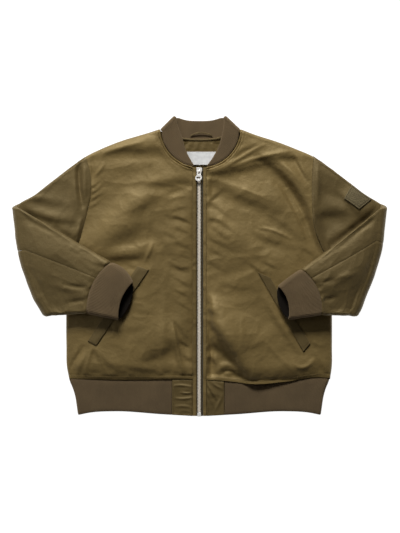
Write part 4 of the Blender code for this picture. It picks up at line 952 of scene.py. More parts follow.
def wall_faces(rows, columns, closed):
    """Faces of a wall between two grids: the outer ones, then the inner ones, then the rims."""
    count = rows * columns
    index = np.arange(count).reshape(rows, columns)
    j = np.arange(columns if closed else columns - 1)
    k = (j + 1) % columns
    low, high = index[:-1], index[1:]
    over = np.stack([low[:, j], high[:, j], high[:, k], low[:, k]], axis=-1).reshape(-1, 4)
    faces = [over, over[:, ::-1] + count]
    rims = [(index[0, j], index[0, k], False), (index[-1, j], index[-1, k], True)]
    if not closed:
        rims += [(low[:, 0], high[:, 0], True), (low[:, -1], high[:, -1], False)]
    for near, far, turned in rims:
        rim = np.stack([near, far, far + count, near + count], axis=-1)
        faces.append(rim[:, ::-1] if turned else rim)
    return np.concatenate(faces)


def add_object(name, mesh, made):
    thing = bpy.data.objects.new(name, mesh)
    bpy.context.scene.collection.objects.link(thing)
    mesh.materials.append(made)
    return thing


def grid_mesh(name, top, bottom, s, t, made, closed):
    """Closed wall between two grids of points in millimetres, with its cloth map in metres."""
    rows, columns = top.shape[:2]
    points = np.concatenate([top.reshape(-1, 3), bottom.reshape(-1, 3)]) * MM
    faces = wall_faces(rows, columns, closed)
    mesh = bpy.data.meshes.new(name)
    mesh.vertices.add(len(points))
    mesh.vertices.foreach_set("co", points.ravel())
    mesh.loops.add(faces.size)
    mesh.loops.foreach_set("vertex_index", faces.ravel())
    mesh.polygons.add(len(faces))
    mesh.polygons.foreach_set("loop_start", np.arange(len(faces)) * 4)
    mesh.polygons.foreach_set("loop_total", np.full(len(faces), 4))
    mesh.update(calc_edges=True)
    mesh.validate()
    place = np.stack([s, t], axis=-1).reshape(-1, 2) * MM
    place = np.concatenate([place, place])
    corner_of = np.zeros(len(mesh.loops), dtype=np.int32)
    mesh.loops.foreach_get("vertex_index", corner_of)
    cloth_map = mesh.uv_layers.new(name="cloth")
    cloth_map.data.foreach_set("uv", place[corner_of].ravel())
    shell = bmesh.new()
    shell.from_mesh(mesh)
    if shell.calc_volume(signed=True) < 0:
        bmesh.ops.reverse_faces(shell, faces=shell.faces)
    shell.to_mesh(mesh)
    shell.free()
    mesh.shade_smooth()
    mesh.set_sharp_from_angle(angle=SHARP_CLOTH)
    return add_object(name, mesh, made)


def cloth(name, laid, thickness, made, outer=0.0, detail=0.0, under=0.0, closed=False):
    """Wall of cloth on a laid grid. detail lifts its outer face, under its inner face."""
    lift = np.zeros(laid.s.shape) + outer + detail
    drop = np.zeros(laid.s.shape) + outer - thickness + under
    top = laid.point + laid.normal * lift[..., None]
    bottom = laid.point + laid.normal * drop[..., None]
    return grid_mesh(name, top, bottom, laid.s, laid.t, made, closed)


def plan(laid):
    return laid.point[..., 0], laid.point[..., 1]


def strip_border(laid):
    """Distance from the nearer long edge of a strip."""
    return np.minimum(laid.t, laid.t[:, -1:] - laid.t)


def border_of(laid):
    """Distance from the nearest edge of a piece."""
    return np.minimum(np.minimum(laid.s, laid.s[-1:] - laid.s), strip_border(laid))


def edge_fall(distance, radius):
    """How far a rounded edge falls short of the face, at a distance from the edge."""
    near = np.clip(distance / radius, 0, 1)
    return radius * (1 - np.sqrt(np.maximum(1 - (1 - near) ** 2, 0)))


# ---- finishes
class Finish:
    """A material in the making. Values that are the same all over go on the shader itself."""

    def __init__(self, name, **values):
        self.made = bpy.data.materials.new(name)
        self.made.use_nodes = True
        self.nodes = self.made.node_tree.nodes
        self.shader = self.nodes["Principled BSDF"]
        set_inputs(self.shader, values)

    def join(self, output, node, label):
        self.made.node_tree.links.new(output, node.inputs[label])

    def add(self, kind, **values):
        node = self.nodes.new(f"ShaderNode{kind}")
        set_inputs(node, values)
        return node

    def noise(self, scale, detail=3.0, roughness=0.5):
        node = self.add("TexNoise", Scale=scale, Detail=detail, Roughness=roughness)
        self.join(self.add("TexCoord").outputs["Object"], node, "Vector")
        return node.outputs["Fac"]

    def wave(self, period, direction, distortion=0.0, on_cloth=True):
        """Fine lines a period apart, on the cloth's own map or in the object's space."""
        node = self.add("TexWave", Scale=math.pi / 10 / period, Distortion=distortion)
        node.bands_direction = direction
        if on_cloth:
            source = self.add("UVMap")
            source.uv_map = "cloth"
            self.join(source.outputs["UV"], node, "Vector")
        else:
            self.join(self.add("TexCoord").outputs["Object"], node, "Vector")
        return node.outputs["Fac"]

    def bump(self, height, distance, below=None):
        node = self.add("Bump", Distance=distance, Strength=1.0)
        self.join(height, node, "Height")
        if below is not None:
            self.join(below, node, "Normal")
        return node.outputs["Normal"]

    def mottle(self, noise, colour, low, high, start=0.3, end=0.7):
        """Vary the colour between two shades of it."""
        node = self.add("ValToRGB")
        for element, share, place in zip(node.color_ramp.elements, (low, high), (start, end)):
            element.position = place
            element.color = (*scaled(colour, share), 1)
        self.join(noise, node, "Fac")
        self.join(node.outputs["Color"], self.shader, "Base Color")

    def vary_roughness(self, scale, low, high):
        node = self.add("MapRange", To_Min=low, To_Max=high)
        self.join(self.noise(scale, 3), node, "Value")
        self.join(node.outputs["Result"], self.shader, "Roughness")

    def with_normal(self, normal):
        self.join(normal, self.shader, "Normal")
        return self.made


def set_inputs(node, values):
    for label, value in values.items():
        node.inputs[label.replace("_", " ")].default_value = value


def scaled(colour, factor):
    return tuple(channel * factor for channel in colour)


def satin_nylon(name, colour, roughness=0.55, crinkle=1.0):
    """Nylon satin: soft broad shine, a fine twill and faint crinkles."""
    made = Finish(
        name, Roughness=roughness, Sheen_Weight=0.25, Sheen_Roughness=0.45,
        Sheen_Tint=(0.75, 0.62, 0.40, 1.0), Specular_IOR_Level=0.5, IOR=1.7,
        Specular_Tint=(1.0, 0.80, 0.45, 1.0),
    )
    made.mottle(made.noise(22, 4), colour, 0.92, 1.08)
    made.vary_roughness(60, roughness - 0.05, roughness + 0.06)
    soft = made.bump(made.noise(75, 3, 0.55), 0.0011 * crinkle)
    small = made.bump(made.noise(420, 2), 0.00012 * crinkle, soft)
    return made.with_normal(made.bump(made.wave(0.00055, "DIAGONAL"), 0.00003, small))


def rib_knit(name, colour, sheen=0.35):
    """Matt rib knit: the ribs are in the mesh, the courses and fuzz are here."""
    made = Finish(
        name, Roughness=0.92, Sheen_Weight=sheen, Sheen_Roughness=0.6,
        Sheen_Tint=(0.8, 0.62, 0.40, 1.0), Specular_IOR_Level=0.2,
    )
    made.mottle(made.noise(40, 4), colour, 0.88, 1.1)
    fuzz = made.bump(made.noise(900, 2), 0.0002)
    return made.with_normal(made.bump(made.wave(0.0012, "Y", 0.6), 0.00003, fuzz))


def plain_weave(name, colour, roughness=0.85, period=0.0009, depth=0.00012, sheen=0.1):
    """Plain weave of warp and weft a period apart."""
    made = Finish(name, Roughness=roughness, Sheen_Weight=sheen, Specular_IOR_Level=0.3)
    made.mottle(made.noise(160, 3), colour, 0.9, 1.08)
    warp = made.bump(made.wave(period, "X", on_cloth=False), depth)
    return made.with_normal(made.bump(made.wave(period, "Y", on_cloth=False), depth, warp))


def loop_pile(name, colour):
    """Fuzzy loops of a loop fastener."""
    made = Finish(
        name, Roughness=0.95, Sheen_Weight=0.2, Sheen_Roughness=0.7,
        Sheen_Tint=(0.8, 0.66, 0.42, 1.0), Specular_IOR_Level=0.1,
    )
    loops = made.noise(1300, 3, 0.7)
    made.mottle(loops, colour, 0.7, 1.35, 0.35, 0.65)
    return made.with_normal(made.bump(loops, 0.0007))


def worn_metal(name, colour, roughness):
    """Satin nickel dulled by use."""
    made = Finish(name, Metallic=0.15, Base_Color=(*colour, 1.0))
    made.vary_roughness(900, roughness - 0.06, roughness + 0.1)
    return made.with_normal(made.bump(made.noise(2500, 2), 0.00002))


OLIVE = (0.164, 0.1115, 0.0375)
# The body's olive satin made darker: painted shade on the sleeves.
SLEEVE_OLIVE_PAINTED_SHADE = (0.102, 0.070, 0.0245)
RIB_BROWN = (0.102, 0.069, 0.034)
TAPE_BROWN = (0.050, 0.041, 0.024)
PILE_OLIVE = (0.135, 0.108, 0.056)
LABEL_WHITE = (0.84, 0.84, 0.82)
TEETH_CREAM = (0.93, 0.84, 0.71)
NICKEL = (0.96, 0.93, 0.88)
FINISH = {
    "body": satin_nylon("olive_satin_nylon", OLIVE),
    "sleeve": satin_nylon("olive_satin_sleeve_painted_shade", SLEEVE_OLIVE_PAINTED_SHADE, 0.58, 0.8),
    # The welts take the painted shade too, a little darker still.
    "welt": satin_nylon("olive_welt_nylon_painted_shade", scaled(SLEEVE_OLIVE_PAINTED_SHADE, 0.92), 0.6, 0.5),
    "rib": rib_knit("olive_rib_knit", RIB_BROWN),
    # The same rib knit made 1.2 times lighter: painted light on the cuffs and collar, while the hem
    # keeps the plain rib.
    "rib_painted_lit": rib_knit("olive_rib_knit_painted_lit", scaled(RIB_BROWN, 1.2)),
    # Near-black rib with no sheen: painted shade inside the cuffs' mouths.
    "rib_painted_shade_inside": rib_knit("rib_in_shade", scaled(RIB_BROWN, 0.07), 0.0),
    "tab": satin_nylon("olive_tab_nylon", scaled(OLIVE, 0.6), 0.58, 0.8),
    "lining": satin_nylon("olive_lining", scaled(OLIVE, 0.72), 0.45, 1.0),
    "tape": plain_weave("zip_tape_weave", TAPE_BROWN),
    "piping": plain_weave("neck_tape_weave", scaled(OLIVE, 0.85), 0.6),
    "label": plain_weave("white_label_weave", LABEL_WHITE, 0.75, 0.0006, 0.00005, 0.05),
    "pile": loop_pile("loop_fastener_pile", PILE_OLIVE),
    "thread": plain_weave("olive_thread", scaled(OLIVE, 0.8), 0.6, 0.0004, 0.00005),
    "teeth": worn_metal("zip_teeth_metal", TEETH_CREAM, 0.34),
    "metal": worn_metal("zip_slider_metal", NICKEL, 0.26),
}

# ---- sewing on
NARROWEST_CUT = 0.0102
LEAST_FILL = 0.32


def belongs(thing, body, nodes=()):
    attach(thing, body)
    if nodes:
        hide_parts(*nodes)


def cloth_area(point):
    """Area in square metres of a grid of points in millimetres."""
    along, across = np.diff(point, axis=0)[:, :-1], np.diff(point, axis=1)[:-1]
    return float(np.linalg.norm(np.cross(along, across), axis=-1).sum()) * MM * MM


def declare(laid):
    """Work out a piece's flat cut: the longest lines of its grid and the area between them. The
    result is not kept.
    """
    width = max(float(laid.t[:, -1].max()) * MM, NARROWEST_CUT)
    length = max(float(laid.s[-1].max()) * MM, NARROWEST_CUT)
    area = min(max(cloth_area(laid.point), LEAST_FILL * width * length), width * length)


def sew(node, laid, thickness, finish, slot, held, rests_on, name=None, **faces):
    """Wall of cloth that stands for a node; its flat cut is worked out but not kept."""
    thing = cloth(f"cloth_{name or node}", laid, thickness, FINISH[finish], **faces)
    belongs(thing, "jacket", [node])
    declare(laid)
    return thing


# ---- body
def fine_back():
    half = crowded(42, 0.04, 12)
    us = np.concatenate([-half[::-1], half[1:]])
    laid = lay(back_surface, us, crowded(88, 0.025, 10), flip=True)
    x, y = plan(laid)
    hem = y - HEM_SEAM_Y
    relief = -0.5 * bell(hem - HEM_STRIP, HEM_GROOVE_WIDTH)
    relief = relief - 0.35 * np.abs(crumple(x, y, SEEDS["back"])) * ease(hem / 20)
    sew("back", laid, SHELL, "body", "nylon", "laid", "floor", detail=relief)


def fine_fronts():
    for side, name in SIDES:
        us, vs = crowded(118, 0.04, 14), crowded(226, 0.025, 12)
        laid = lay(front_surface(side), us, vs, flip=side == RIGHT)
        x, y = plan(laid)
        relief = front_detail(side, x, y) - edge_fall(np.abs(x) - FRONT_EDGE, 0.3)
        relief = relief - edge_fall(neck_distance(x, y), 0.9)
        above = ease((y - UNDERARM[1]) / 12) * (y < BODY_SIDES[-1].y - 3)
        relief = relief - 0.9 * above * bell(outline_distance(side, x, y), 1.6)
        sew(f"front_{name}", laid, SHELL, "body", "nylon", "laid", "back",
            detail=relief, under=0.4 * relief)


# ---- fine sleeves
ARM_RUN = 115.0
BEND_RUN = 22.0
FOREARM_RUN = 130.0
WRIST_RUN = 88.0
FACE_RUN = 175.0
BACK_SHIFT = 400.0
PATCH_RUN = 110.0
ARM_TUCK = 0.008


def sleeve_relief(side, laid, ring):
    """Fine relief of a sleeve, on its outer side."""
    w = laid.u
    x, y = plan(laid)
    m = np.abs(ring)
    up = np.where(w < 1.5, ring > 0, ring < 0)
    seen = np.where(up, ease((m - 0.9) * 6) * ease((2.2 - m) * 6), 0)
    flat = ease(np.minimum(np.abs(w - 1), np.abs(w - 2)) * 6)
    placed = seen * flat * fold_height(SLEEVE_CREASES[side], x, y)
    on_forearm = ARM_RUN + BEND_RUN + (w - 2) * FOREARM_RUN
    along = np.where(w < 2, ARM_RUN + (w - 1) * BEND_RUN, on_forearm)
    along = np.where(w < 1, w * ARM_RUN, along)
    across = m * FACE_RUN * np.sign(ring)
    calm = ease(w * 8) * ease((3 - w) * 10)
    at_elbow = bell(w - 1.5, 0.55)
    shifted = along + BACK_SHIFT * (ring < 0)
    crumpled = 0.85 * calm * crumple(shifted, across, SEEDS["sleeve"] + side)
    relief = placed + crumpled * (1 - 0.7 * at_elbow)
    to_cuff = (3 - w) * FOREARM_RUN
    round_it = np.where(m > 1, m - 1, 0) * WRIST_RUN * np.sign(ring)
    gathers = puckers(to_cuff, round_it, 13, 8.0, SEEDS["cuff_puckers"] + side)
    relief = relief + 1.7 * ease(to_cuff / 2.5) * gathers
    to_body = w * ARM_RUN
    at_armhole = puckers(to_body, across, 12, 9.0, SEEDS["armhole_puckers"] + side)
    relief = relief + 0.9 * at_armhole * ease(to_body / 2)
    ripples = lattice_noise(across, along * 0.4, 13, SEEDS["elbow"] + side)
    relief = relief + 0.3 * at_elbow * ripples
    return relief * ease(np.minimum(m, 3 - m) * 4 + 0.3)


def under_patch(w, ring):
    """1 where the loop patch lies on the left sleeve, fading out round it."""
    reach = EDGE_RADIUS + (ring - 1) * (ARM_WIDTH - 2 * EDGE_RADIUS)
    share = np.clip((reach - PATCH_REACH[0]) / (PATCH_REACH[1] - PATCH_REACH[0]), 0, 1)
    low = mix(PATCH_ARM[0][0], PATCH_ARM[1][0], share)
    high = mix(PATCH_ARM[0][1], PATCH_ARM[1][1], share)
    beyond = np.maximum(np.maximum(low - w, w - high) * PATCH_RUN, 0)
    past = np.maximum(np.maximum(PATCH_REACH[0] - reach, reach - PATCH_REACH[1]), 0)
    return bell(np.hypot(beyond, past), 3) * (ring > 0)


def chained(*parts):
    """Shares over parts that follow on from each other, each (start, end, count)."""
    runs = [np.linspace(*part) for part in parts]
    return np.concatenate([run[:-1] for run in runs[:-1]] + runs[-1:])


UPPER_MARKS = chained((-1, 0, 22), (0, 0.34, 14), (0.34, 0.68, 84), (0.68, 1, 10))
UNDER_MARKS = chained((0, 1, 12), (1, 2, 52))
ALONG_SLEEVE = chained((0, 0.9, 62), (0.9, 1.0, 10), (1, 2, 26), (2, 2.9, 70), (2.9, 3, 12))
SLEEVE_STATIONS = np.concatenate([[-ARM_TUCK], ALONG_SLEEVE])
# Half a seam gap in ring positions, on the rolled edge and on the flat face.
TIP_GAP = SEAM_GAP / (EDGE_RADIUS * math.pi)
FACE_GAP = SEAM_GAP / 300


def elbow_seam_at(side, w):
    return -(1 + np.interp(w, (0, 1.5, 3), SLEEVES[side].elbow_seam))


def upper_ring(side, w, t):
    """Ring positions of the upper sleeve: the elbow seam (-1), the top (0), the underarm (1)."""
    start = elbow_seam_at(side, w) + FACE_GAP
    return np.where(t < 0, mix(start, -1.0, 1 + t), mix(-1.0, 3 - TIP_GAP, t))


def under_ring(side, w, t):
    """Ring positions of the under sleeve: from the underarm (0) to the elbow seam (2)."""
    end = elbow_seam_at(side, w) - FACE_GAP
    return np.where(t < 1, mix(-3 + TIP_GAP, -2.0, t), mix(-2.0, end, t - 1))


def above_floor(laid, relief):
    """The relief, held back where it would push the cloth through the floor."""
    facing = laid.normal[..., 2]
    height = laid.point[..., 2] + facing * relief
    held_back = relief + height / -np.minimum(facing, -0.2)
    return np.where((height < 0) & (facing < 0), held_back, relief)


def fine_sleeve(side, name, part, ring_of, marks):
    surface = sleeve_surface(side)

    def around(w, t):
        return surface(w, ring_of(side, w, t))

    laid = lay(around, SLEEVE_STATIONS, marks, flip=side == LEFT)
    ring = ring_of(side, laid.u, laid.v)
    relief = sleeve_relief(side, laid, ring)
    if side == LEFT and part == "upper":
        relief = relief * (1 - under_patch(laid.u, ring))
    seam = laid.t if part == "upper" else laid.t[:, -1:] - laid.t
    relief = relief - 0.45 * bell(seam, 1.3)
    relief = relief - 0.9 * bell(laid.s, 1.6) - 1.0 * bell(laid.s[-1:] - laid.s, 1.6)
    relief = above_floor(laid, relief)
    sew(f"sleeve_{name}_{part}", laid, SHELL, "sleeve", "nylon", "folded", f"front_{name}",
        detail=relief, under=0.3 * relief)


def fine_sleeves():
    for side, name in SIDES:
        fine_sleeve(side, name, "upper", upper_ring, UPPER_MARKS)
        fine_sleeve(side, name, "under", under_ring, UNDER_MARKS)


# ---- rib pieces
RIB_PITCH = 2.3
RIB_DEPTH = 0.42
RIB_SAMPLES = 5
CUFF_LENGTH = 62.0
HEM_DEPTH = 59.0
HEM_TUCK = 1.0
COLLAR_DEPTH = 38.0
TAB_HEIGHT = 57.0


def rib_relief(run, to_edge, pitch=RIB_PITCH):
    """Rounded ribs with narrow grooves up to a rounded edge, and how far that edge falls."""
    fall = edge_fall(to_edge, RIB / 2)
    groove = np.abs(np.cos(math.pi * run / pitch)) ** 5
    return RIB_DEPTH * (1 - groove) * ease(to_edge / 2) - fall, fall


def paint_shade_inside(thing, count, made):
    """Give the inner face of a tube, whose faces follow the count of outer ones, the near-black rib
    that paints the shade inside it.
    """
    thing.data.materials.append(made)
    for index in range(count, 2 * count):
        thing.data.polygons[index].material_index = 1


def fine_cuffs():
    face = WRIST_WIDTH - 2 * CUFF_RADIUS
    quarter = CUFF_RADIUS * math.pi / 2
    around = 2 * face + 2 * math.pi * CUFF_RADIUS
    ribs = round(around / RIB_PITCH)
    shares = np.arange(ribs * RIB_SAMPLES) / (ribs * RIB_SAMPLES) * around
    bounds = np.cumsum([0, quarter, face, 2 * quarter, face, quarter])
    ring = np.interp(shares, bounds, [0, 1, 2, 4, 5, 6])
    ring = np.where(ring > 3, ring - 6, ring)
    ws = dense_ends(26, CUFF_LENGTH, RIB / 2, low=False)
    steps = np.tile(shares, (len(ws), 1))
    for side, name in SIDES:
        laid = lay(cuff_surface(side), ws, ring, flip=side == LEFT, closed=True)
        to_mouth = laid.s[-1:] - laid.s
        rib, fall = rib_relief(steps, to_mouth, around / ribs)
        swell = 0.5 * lattice_noise(laid.s, steps, 22, SEEDS["cuff"] + side)
        swell = swell * ease(to_mouth / 6) * ease(laid.s / 6)
        relief = rib + swell - 1.2 * bell(laid.s, 2.0)
        thing = sew(f"cuff_{name}", laid, RIB, "rib_painted_lit", "rib", "laid", f"front_{name}",
                    outer=-RIB_DEPTH, detail=relief, under=RIB_DEPTH + fall + swell, closed=True)
        # The cuff's inner face gets the painted shade.
        paint_shade_inside(thing, (len(ws) - 1) * len(ring), FINISH["rib_painted_shade_inside"])


def fine_hem():
    tucked = [-HEM_TUCK / HEM_DEPTH]
    us = np.concatenate([tucked, dense_ends(12, HEM_DEPTH, RIB / 2, low=False)])
    laid = lay(hem_surface, even(hem_surface, -3.0, 3.0, RIB_PITCH / 4), us)
    run = laid.s[:, :1] + np.zeros_like(laid.s)
    rib, fall = rib_relief(run, laid.t[:, -1:] - laid.t)
    swell = 0.45 * lattice_noise(run, laid.t, 34, SEEDS["hem"])
    above = laid.point[..., 2] > HEM_RADIUS
    relief = rib - 0.8 * bell(laid.t, 1.6) + np.where(above, swell, -np.abs(swell) * 0.3)
    sew("hem_rib", laid, RIB, "rib", "rib", "laid", "floor",
        outer=-RIB_DEPTH, detail=relief, under=RIB_DEPTH + fall)


def fine_collar():
    us = dense_ends(18, COLLAR_DEPTH, RIB / 2, low=False)
    laid = lay(collar_surface, even(collar_surface, -3.0, 3.0, RIB_PITCH / 5), us, flip=True)
    run = laid.s[:, 9:10] + np.zeros_like(laid.s)
    rib, fall = rib_relief(run, laid.t[:, -1:] - laid.t)
    swell = 0.3 * lattice_noise(run, laid.t, 20, SEEDS["collar"]) * ease(laid.t / 6)
    above = laid.point[..., 2] > COLLAR_RADIUS
    relief = rib - 0.8 * bell(laid.t, 1.6) + np.where(above, swell, 0)
    sew("collar", laid, RIB, "rib_painted_lit", "rib", "folded", "back",
        outer=-RIB_DEPTH, detail=relief, under=RIB_DEPTH + fall)


def fine_hem_tabs():
    for side, name in SIDES:
        inner, outer = PLACKET_OUTER + SEAM_GAP, HEM_TAB_X[side]

        def surface(u, v):
            reach = mix(inner, outer, u)
            low = read(HEM_EDGE, reach, "y")
            high = read(HEM_SEAM, reach, name) - HEM_GAP
            return xyz(side * reach, mix(low, high, v), 2 * HEM_RADIUS)

        us, vs = np.linspace(0, 1, 34), dense_ends(60, TAB_HEIGHT, 1.2)
        laid = lay(surface, us, vs, flip=side == RIGHT)
        border = border_of(laid)
        x, y = plan(laid)
        ripples = puckers(laid.s, laid.t, 14, 7.0, SEEDS["tab_puckers"] + side)
        relief = -edge_fall(border, 1.0) + 1.1 * ripples
        relief = relief + 0.9 * crumple(x, y, SEEDS["tab"] + side) * ease(border / 4)
        relief = relief + fold_height(TAB_CREASES[side], x, y) * ease(border / 2)
        sew(f"hem_tab_{name}", laid, RIB, "tab", "nylon", "laid", "hem_rib", detail=relief)


# ---- plackets and welts
STITCH_INSET = 1.3
PLACKET_RISE = 0.5
WELT_SIZE = (15.0, 143.0)


def placket_inner(side):
    return PLACKET_INNER - side * ZIP_X


def placket_top(side, x, y):
    reach = np.abs(x)
    inside, outside = reach - placket_inner(side), PLACKET_OUTER - reach
    ripple = 0.75 * puckers(np.abs(reach - 9), y, 9, 6.5, SEEDS["placket"] + side)
    rolled_edge = edge_fall(np.maximum(inside, 0), 0.9) + edge_fall(np.maximum(outside, 0), 0.3)
    stitched = -0.25 * bell(np.minimum(inside, outside) - STITCH_INSET, 0.5)
    return front_height(side, x, y) + PLACKET_RISE + ripple - rolled_edge + stitched


def along_zip(side, inner, depth=0.0):
    """Surface of a strip beside the zip, a depth below the front's face."""
    def surface(u, v):
        x = side * mix(inner, PLACKET_OUTER, u)
        y = mix(*PLACKET_Y, v)
        return xyz(x, y, front_height(side, x, y) - depth)

    return surface


def fine_plackets():
    for side, name in SIDES:
        inner = placket_inner(side)
        us, vs = dense_ends(13, PLACKET_OUTER - inner, 0.9), np.linspace(0, 1, 250)
        laid = lay(along_zip(side, inner), us, vs, flip=side == RIGHT)
        relief = placket_top(side, *plan(laid)) - laid.point[..., 2]
        sew(f"placket_{name}", laid, SHELL, "body", "nylon", "folded", f"front_{name}",
            detail=relief)


def fine_welts():
    us, vs = dense_ends(16, WELT_SIZE[0], 1.0), dense_ends(110, WELT_SIZE[1], 1.0)
    for side, name in SIDES:
        surface = plan_surface(lambda x, y: front_height(side, x, y), WELTS[side])
        laid = lay(surface, us, vs, flip=side == LEFT)
        border = border_of(laid)
        relief = -edge_fall(border, 1.0) - 0.35 * bell(border - 1.8, 0.6)
        uneven = lattice_noise(laid.t, laid.s, 11, SEEDS["welt"] + side)
        relief = relief + 0.35 * uneven * ease(border / 3)
        sew(f"pocket_welt_{name}", laid, WELT_THICKNESS, "welt", "nylon", "folded",
            f"front_{name}", f"welt_{name}", outer=WELT_GAP + WELT_THICKNESS, detail=relief)


# ---- inside the neck
FACING_TOP = SHELL + SEAM_GAP + FACING_THICKNESS
LABEL_TOP = SHELL + 2 * SEAM_GAP + FACING_THICKNESS + LABEL_THICKNESS
LABEL_SIZE = (58.0, 21.0)
NECK_TAPE_WIDTH = 3.7
# The facing's gathers run out like spokes from a point above it.
GATHER_CENTRE = (2.0, 40.0)
GATHER_RADIUS = 60.0


def fine_facing():
    def surface(u, v):
        half = mix(*FACING_HALF_WIDTHS, v)
        return xyz(mix(-half, half, u), mix(*FACING_Y, v), FACING_TOP)

    laid = lay(surface, np.linspace(0, 1, 110), np.linspace(0, 1, 48))
    x, y = plan(laid)
    down = FACING_Y[1] - y
    turn = np.arctan2(x - GATHER_CENTRE[0], down + GATHER_CENTRE[1]) * GATHER_RADIUS
    gathers = lattice_noise(turn, down * 0.08, 7.5, SEEDS["facing"])
    relief = 1.1 * gathers * ease(down / 5) * ease((y - LABEL_Y[1] - 1) / 5)
    relief = relief + 0.15 * crumple(x, y, SEEDS["facing"] + 1)
    sew("back_neck_facing", laid, FACING_THICKNESS, "lining", "lining", "laid", "back",
        "neck_facing", detail=np.maximum(relief, -0.8))


def fine_label():
    def surface(u, v):
        return xyz(mix(*LABEL_X, u), mix(*LABEL_Y, v), LABEL_TOP)

    us, vs = dense_ends(50, LABEL_SIZE[0], 0.4), dense_ends(20, LABEL_SIZE[1], 0.4)
    laid = lay(surface, us, vs)
    wavy = 0.3 * lattice_noise(laid.s, laid.t, 18, SEEDS["label"])
    relief = wavy - edge_fall(border_of(laid), 0.35)
    sew("label", laid, LABEL_THICKNESS, "label", "label", "laid", "back_neck_facing",
        detail=relief)


def fine_neck_tape():
    def surface(u, v):
        x = mix(*NECK_TAPE_X, u)
        return xyz(x, back_neck_y(x) + mix(*NECK_TAPE_OFFSETS, v), RIB + SEAM_GAP)

    laid = lay(surface, np.linspace(0, 1, 120), dense_ends(12, NECK_TAPE_WIDTH, 0.9))
    lift = NECK_TAPE_THICKNESS + 0.5 - edge_fall(strip_border(laid), 1.4)
    sew("neck_tape", laid, NECK_TAPE_THICKNESS, "piping", "lining", "folded", "collar",
        detail=lift, under=NECK_TAPE_THICKNESS)


def fine_hanger():
    def surface(u, v):
        rise = np.sin(np.pi * u) ** 0.6
        y = mix(*HANGER_Y, rise) + HANGER_WIDTH * v
        return xyz(mix(*HANGER_X, u), y, mix(*HANGER_Z, rise))

    laid = lay(surface, np.linspace(0.02, 0.98, 90), dense_ends(9, HANGER_WIDTH, 0.5))
    fall = edge_fall(strip_border(laid), HANGER_THICKNESS / 2)
    sew("hanger_loop", laid, HANGER_THICKNESS, "piping", "lining", "hung", "collar",
        outer=HANGER_THICKNESS / 2, detail=-fall, under=fall)


# ---- patch
PATCH_SIZE = (37.0, 32.0)


def patch_surface(u, v):
    """The left sleeve's own surface under the patch."""
    reach = mix(*PATCH_REACH, v)
    low, high = mix(*PATCH_ARM[0], u), mix(*PATCH_ARM[1], u)
    on_face = 1 + (reach - EDGE_RADIUS) / (ARM_WIDTH - 2 * EDGE_RADIUS)
    on_roll = 1 - (EDGE_RADIUS - reach) / EDGE_RADIUS * 0.6
    ring = np.where(reach < EDGE_RADIUS, on_roll, on_face)
    return sleeve_surface(LEFT)(mix(low, high, v), ring)


def fine_patch():
    us, vs = dense_ends(44, PATCH_SIZE[0], 0.8), dense_ends(44, PATCH_SIZE[1], 0.8)
    laid = lay(patch_surface, us, vs, flip=True)
    border = border_of(laid)
    relief = -edge_fall(border, 0.8) - 0.7 * bell(border - 2.6, 0.6)
    pile = lattice_noise(laid.s, laid.t, 1.6, SEEDS["patch"])
    relief = relief + 0.25 * pile * ease((border - 3) / 1.5)
    sew("sleeve_patch", laid, PATCH_THICKNESS, "pile", "loop_fastener", "laid",
        "sleeve_left_upper", outer=PATCH_GAP + PATCH_THICKNESS, detail=relief)


# ---- zip
TOOTH_PITCH = 2.3
TOOTH_OVERLAP = 1.25
TOOTH_LENGTH = CHAIN_WIDTH / 2 + TOOTH_OVERLAP
TOOTH_WIDTH = 1.35
TOOTH_CHAMFER = 0.45
# Half outline of a tooth, from its root to its nose: reach and share of its width.
TOOTH_OUTLINE = (
    (0.0, 0.55), (0.35, 0.95), (0.8, 1.0), (TOOTH_LENGTH - 0.3, 1.0), (TOOTH_LENGTH, 0.7),
)
CHAIN_MIDDLE = ZIP_LEVEL - SHELL - SEAM_GAP - TAPE_THICKNESS / 2
SLIDER_CLEAR = CHAIN_THICKNESS / 2 + SEAM_GAP
SLIDER_TOP = CHAIN_MIDDLE + SLIDER_CLEAR + PLATE
SLIDER_SHOULDER = 0.98
SLIDER_FOOT = 0.74
SLIDER_POST = ((-1.4, 150.6), (1.4, 150.6), (0.9, 156.0), (-0.9, 156.0))
BRIDGE_STEPS = 12
BRIDGE_SINK = 0.1
PULL_NECK = ((0.5, 0.0), (0.0, -0.6), (0.0, -5.2), (0.3, -7.0))
PULL_STEPS = 24


def fine_tapes():
    for side, name in SIDES:
        inner = CHAIN_WIDTH / 2 + SEAM_GAP - side * ZIP_X
        surface = along_zip(side, inner, SHELL + SEAM_GAP)
        laid = lay(surface, np.linspace(0, 1, 9), np.linspace(0, 1, 160), flip=side == RIGHT)
        sew(f"zip_tape_{name}", laid, TAPE_THICKNESS, "tape", "zip_tape", "laid",
            f"placket_{name}")


def stack(shell, rings):
    """Closed solid through rings of points in millimetres, added to a bmesh."""
    made = [[shell.verts.new([value * MM for value in point]) for point in ring] for ring in rings]
    count = len(made[0])
    for lower, upper in zip(made, made[1:]):
        for i in range(count):
            k = (i + 1) % count
            shell.faces.new((lower[i], lower[k], upper[k], upper[i]))
    shell.faces.new(made[0][::-1])
    shell.faces.new(made[-1])


def metal_piece(name, shell, finish="metal"):
    """Object of a finished bmesh, with smooth faces and sharp edges."""
    bmesh.ops.recalc_face_normals(shell, faces=shell.faces)
    mesh = bpy.data.meshes.new(name)
    shell.to_mesh(mesh)
    shell.free()
    mesh.shade_smooth()
    mesh.set_sharp_from_angle(angle=SHARP_METAL)
    return add_object(name, mesh, FINISH[finish])


def plate_piece(name, outline, low, high):
    """Flat plate over a plan outline."""
    shell = bmesh.new()
    stack(shell, [[(x, y, z) for x, y in outline] for z in (low, high)])
    return metal_piece(name, shell)


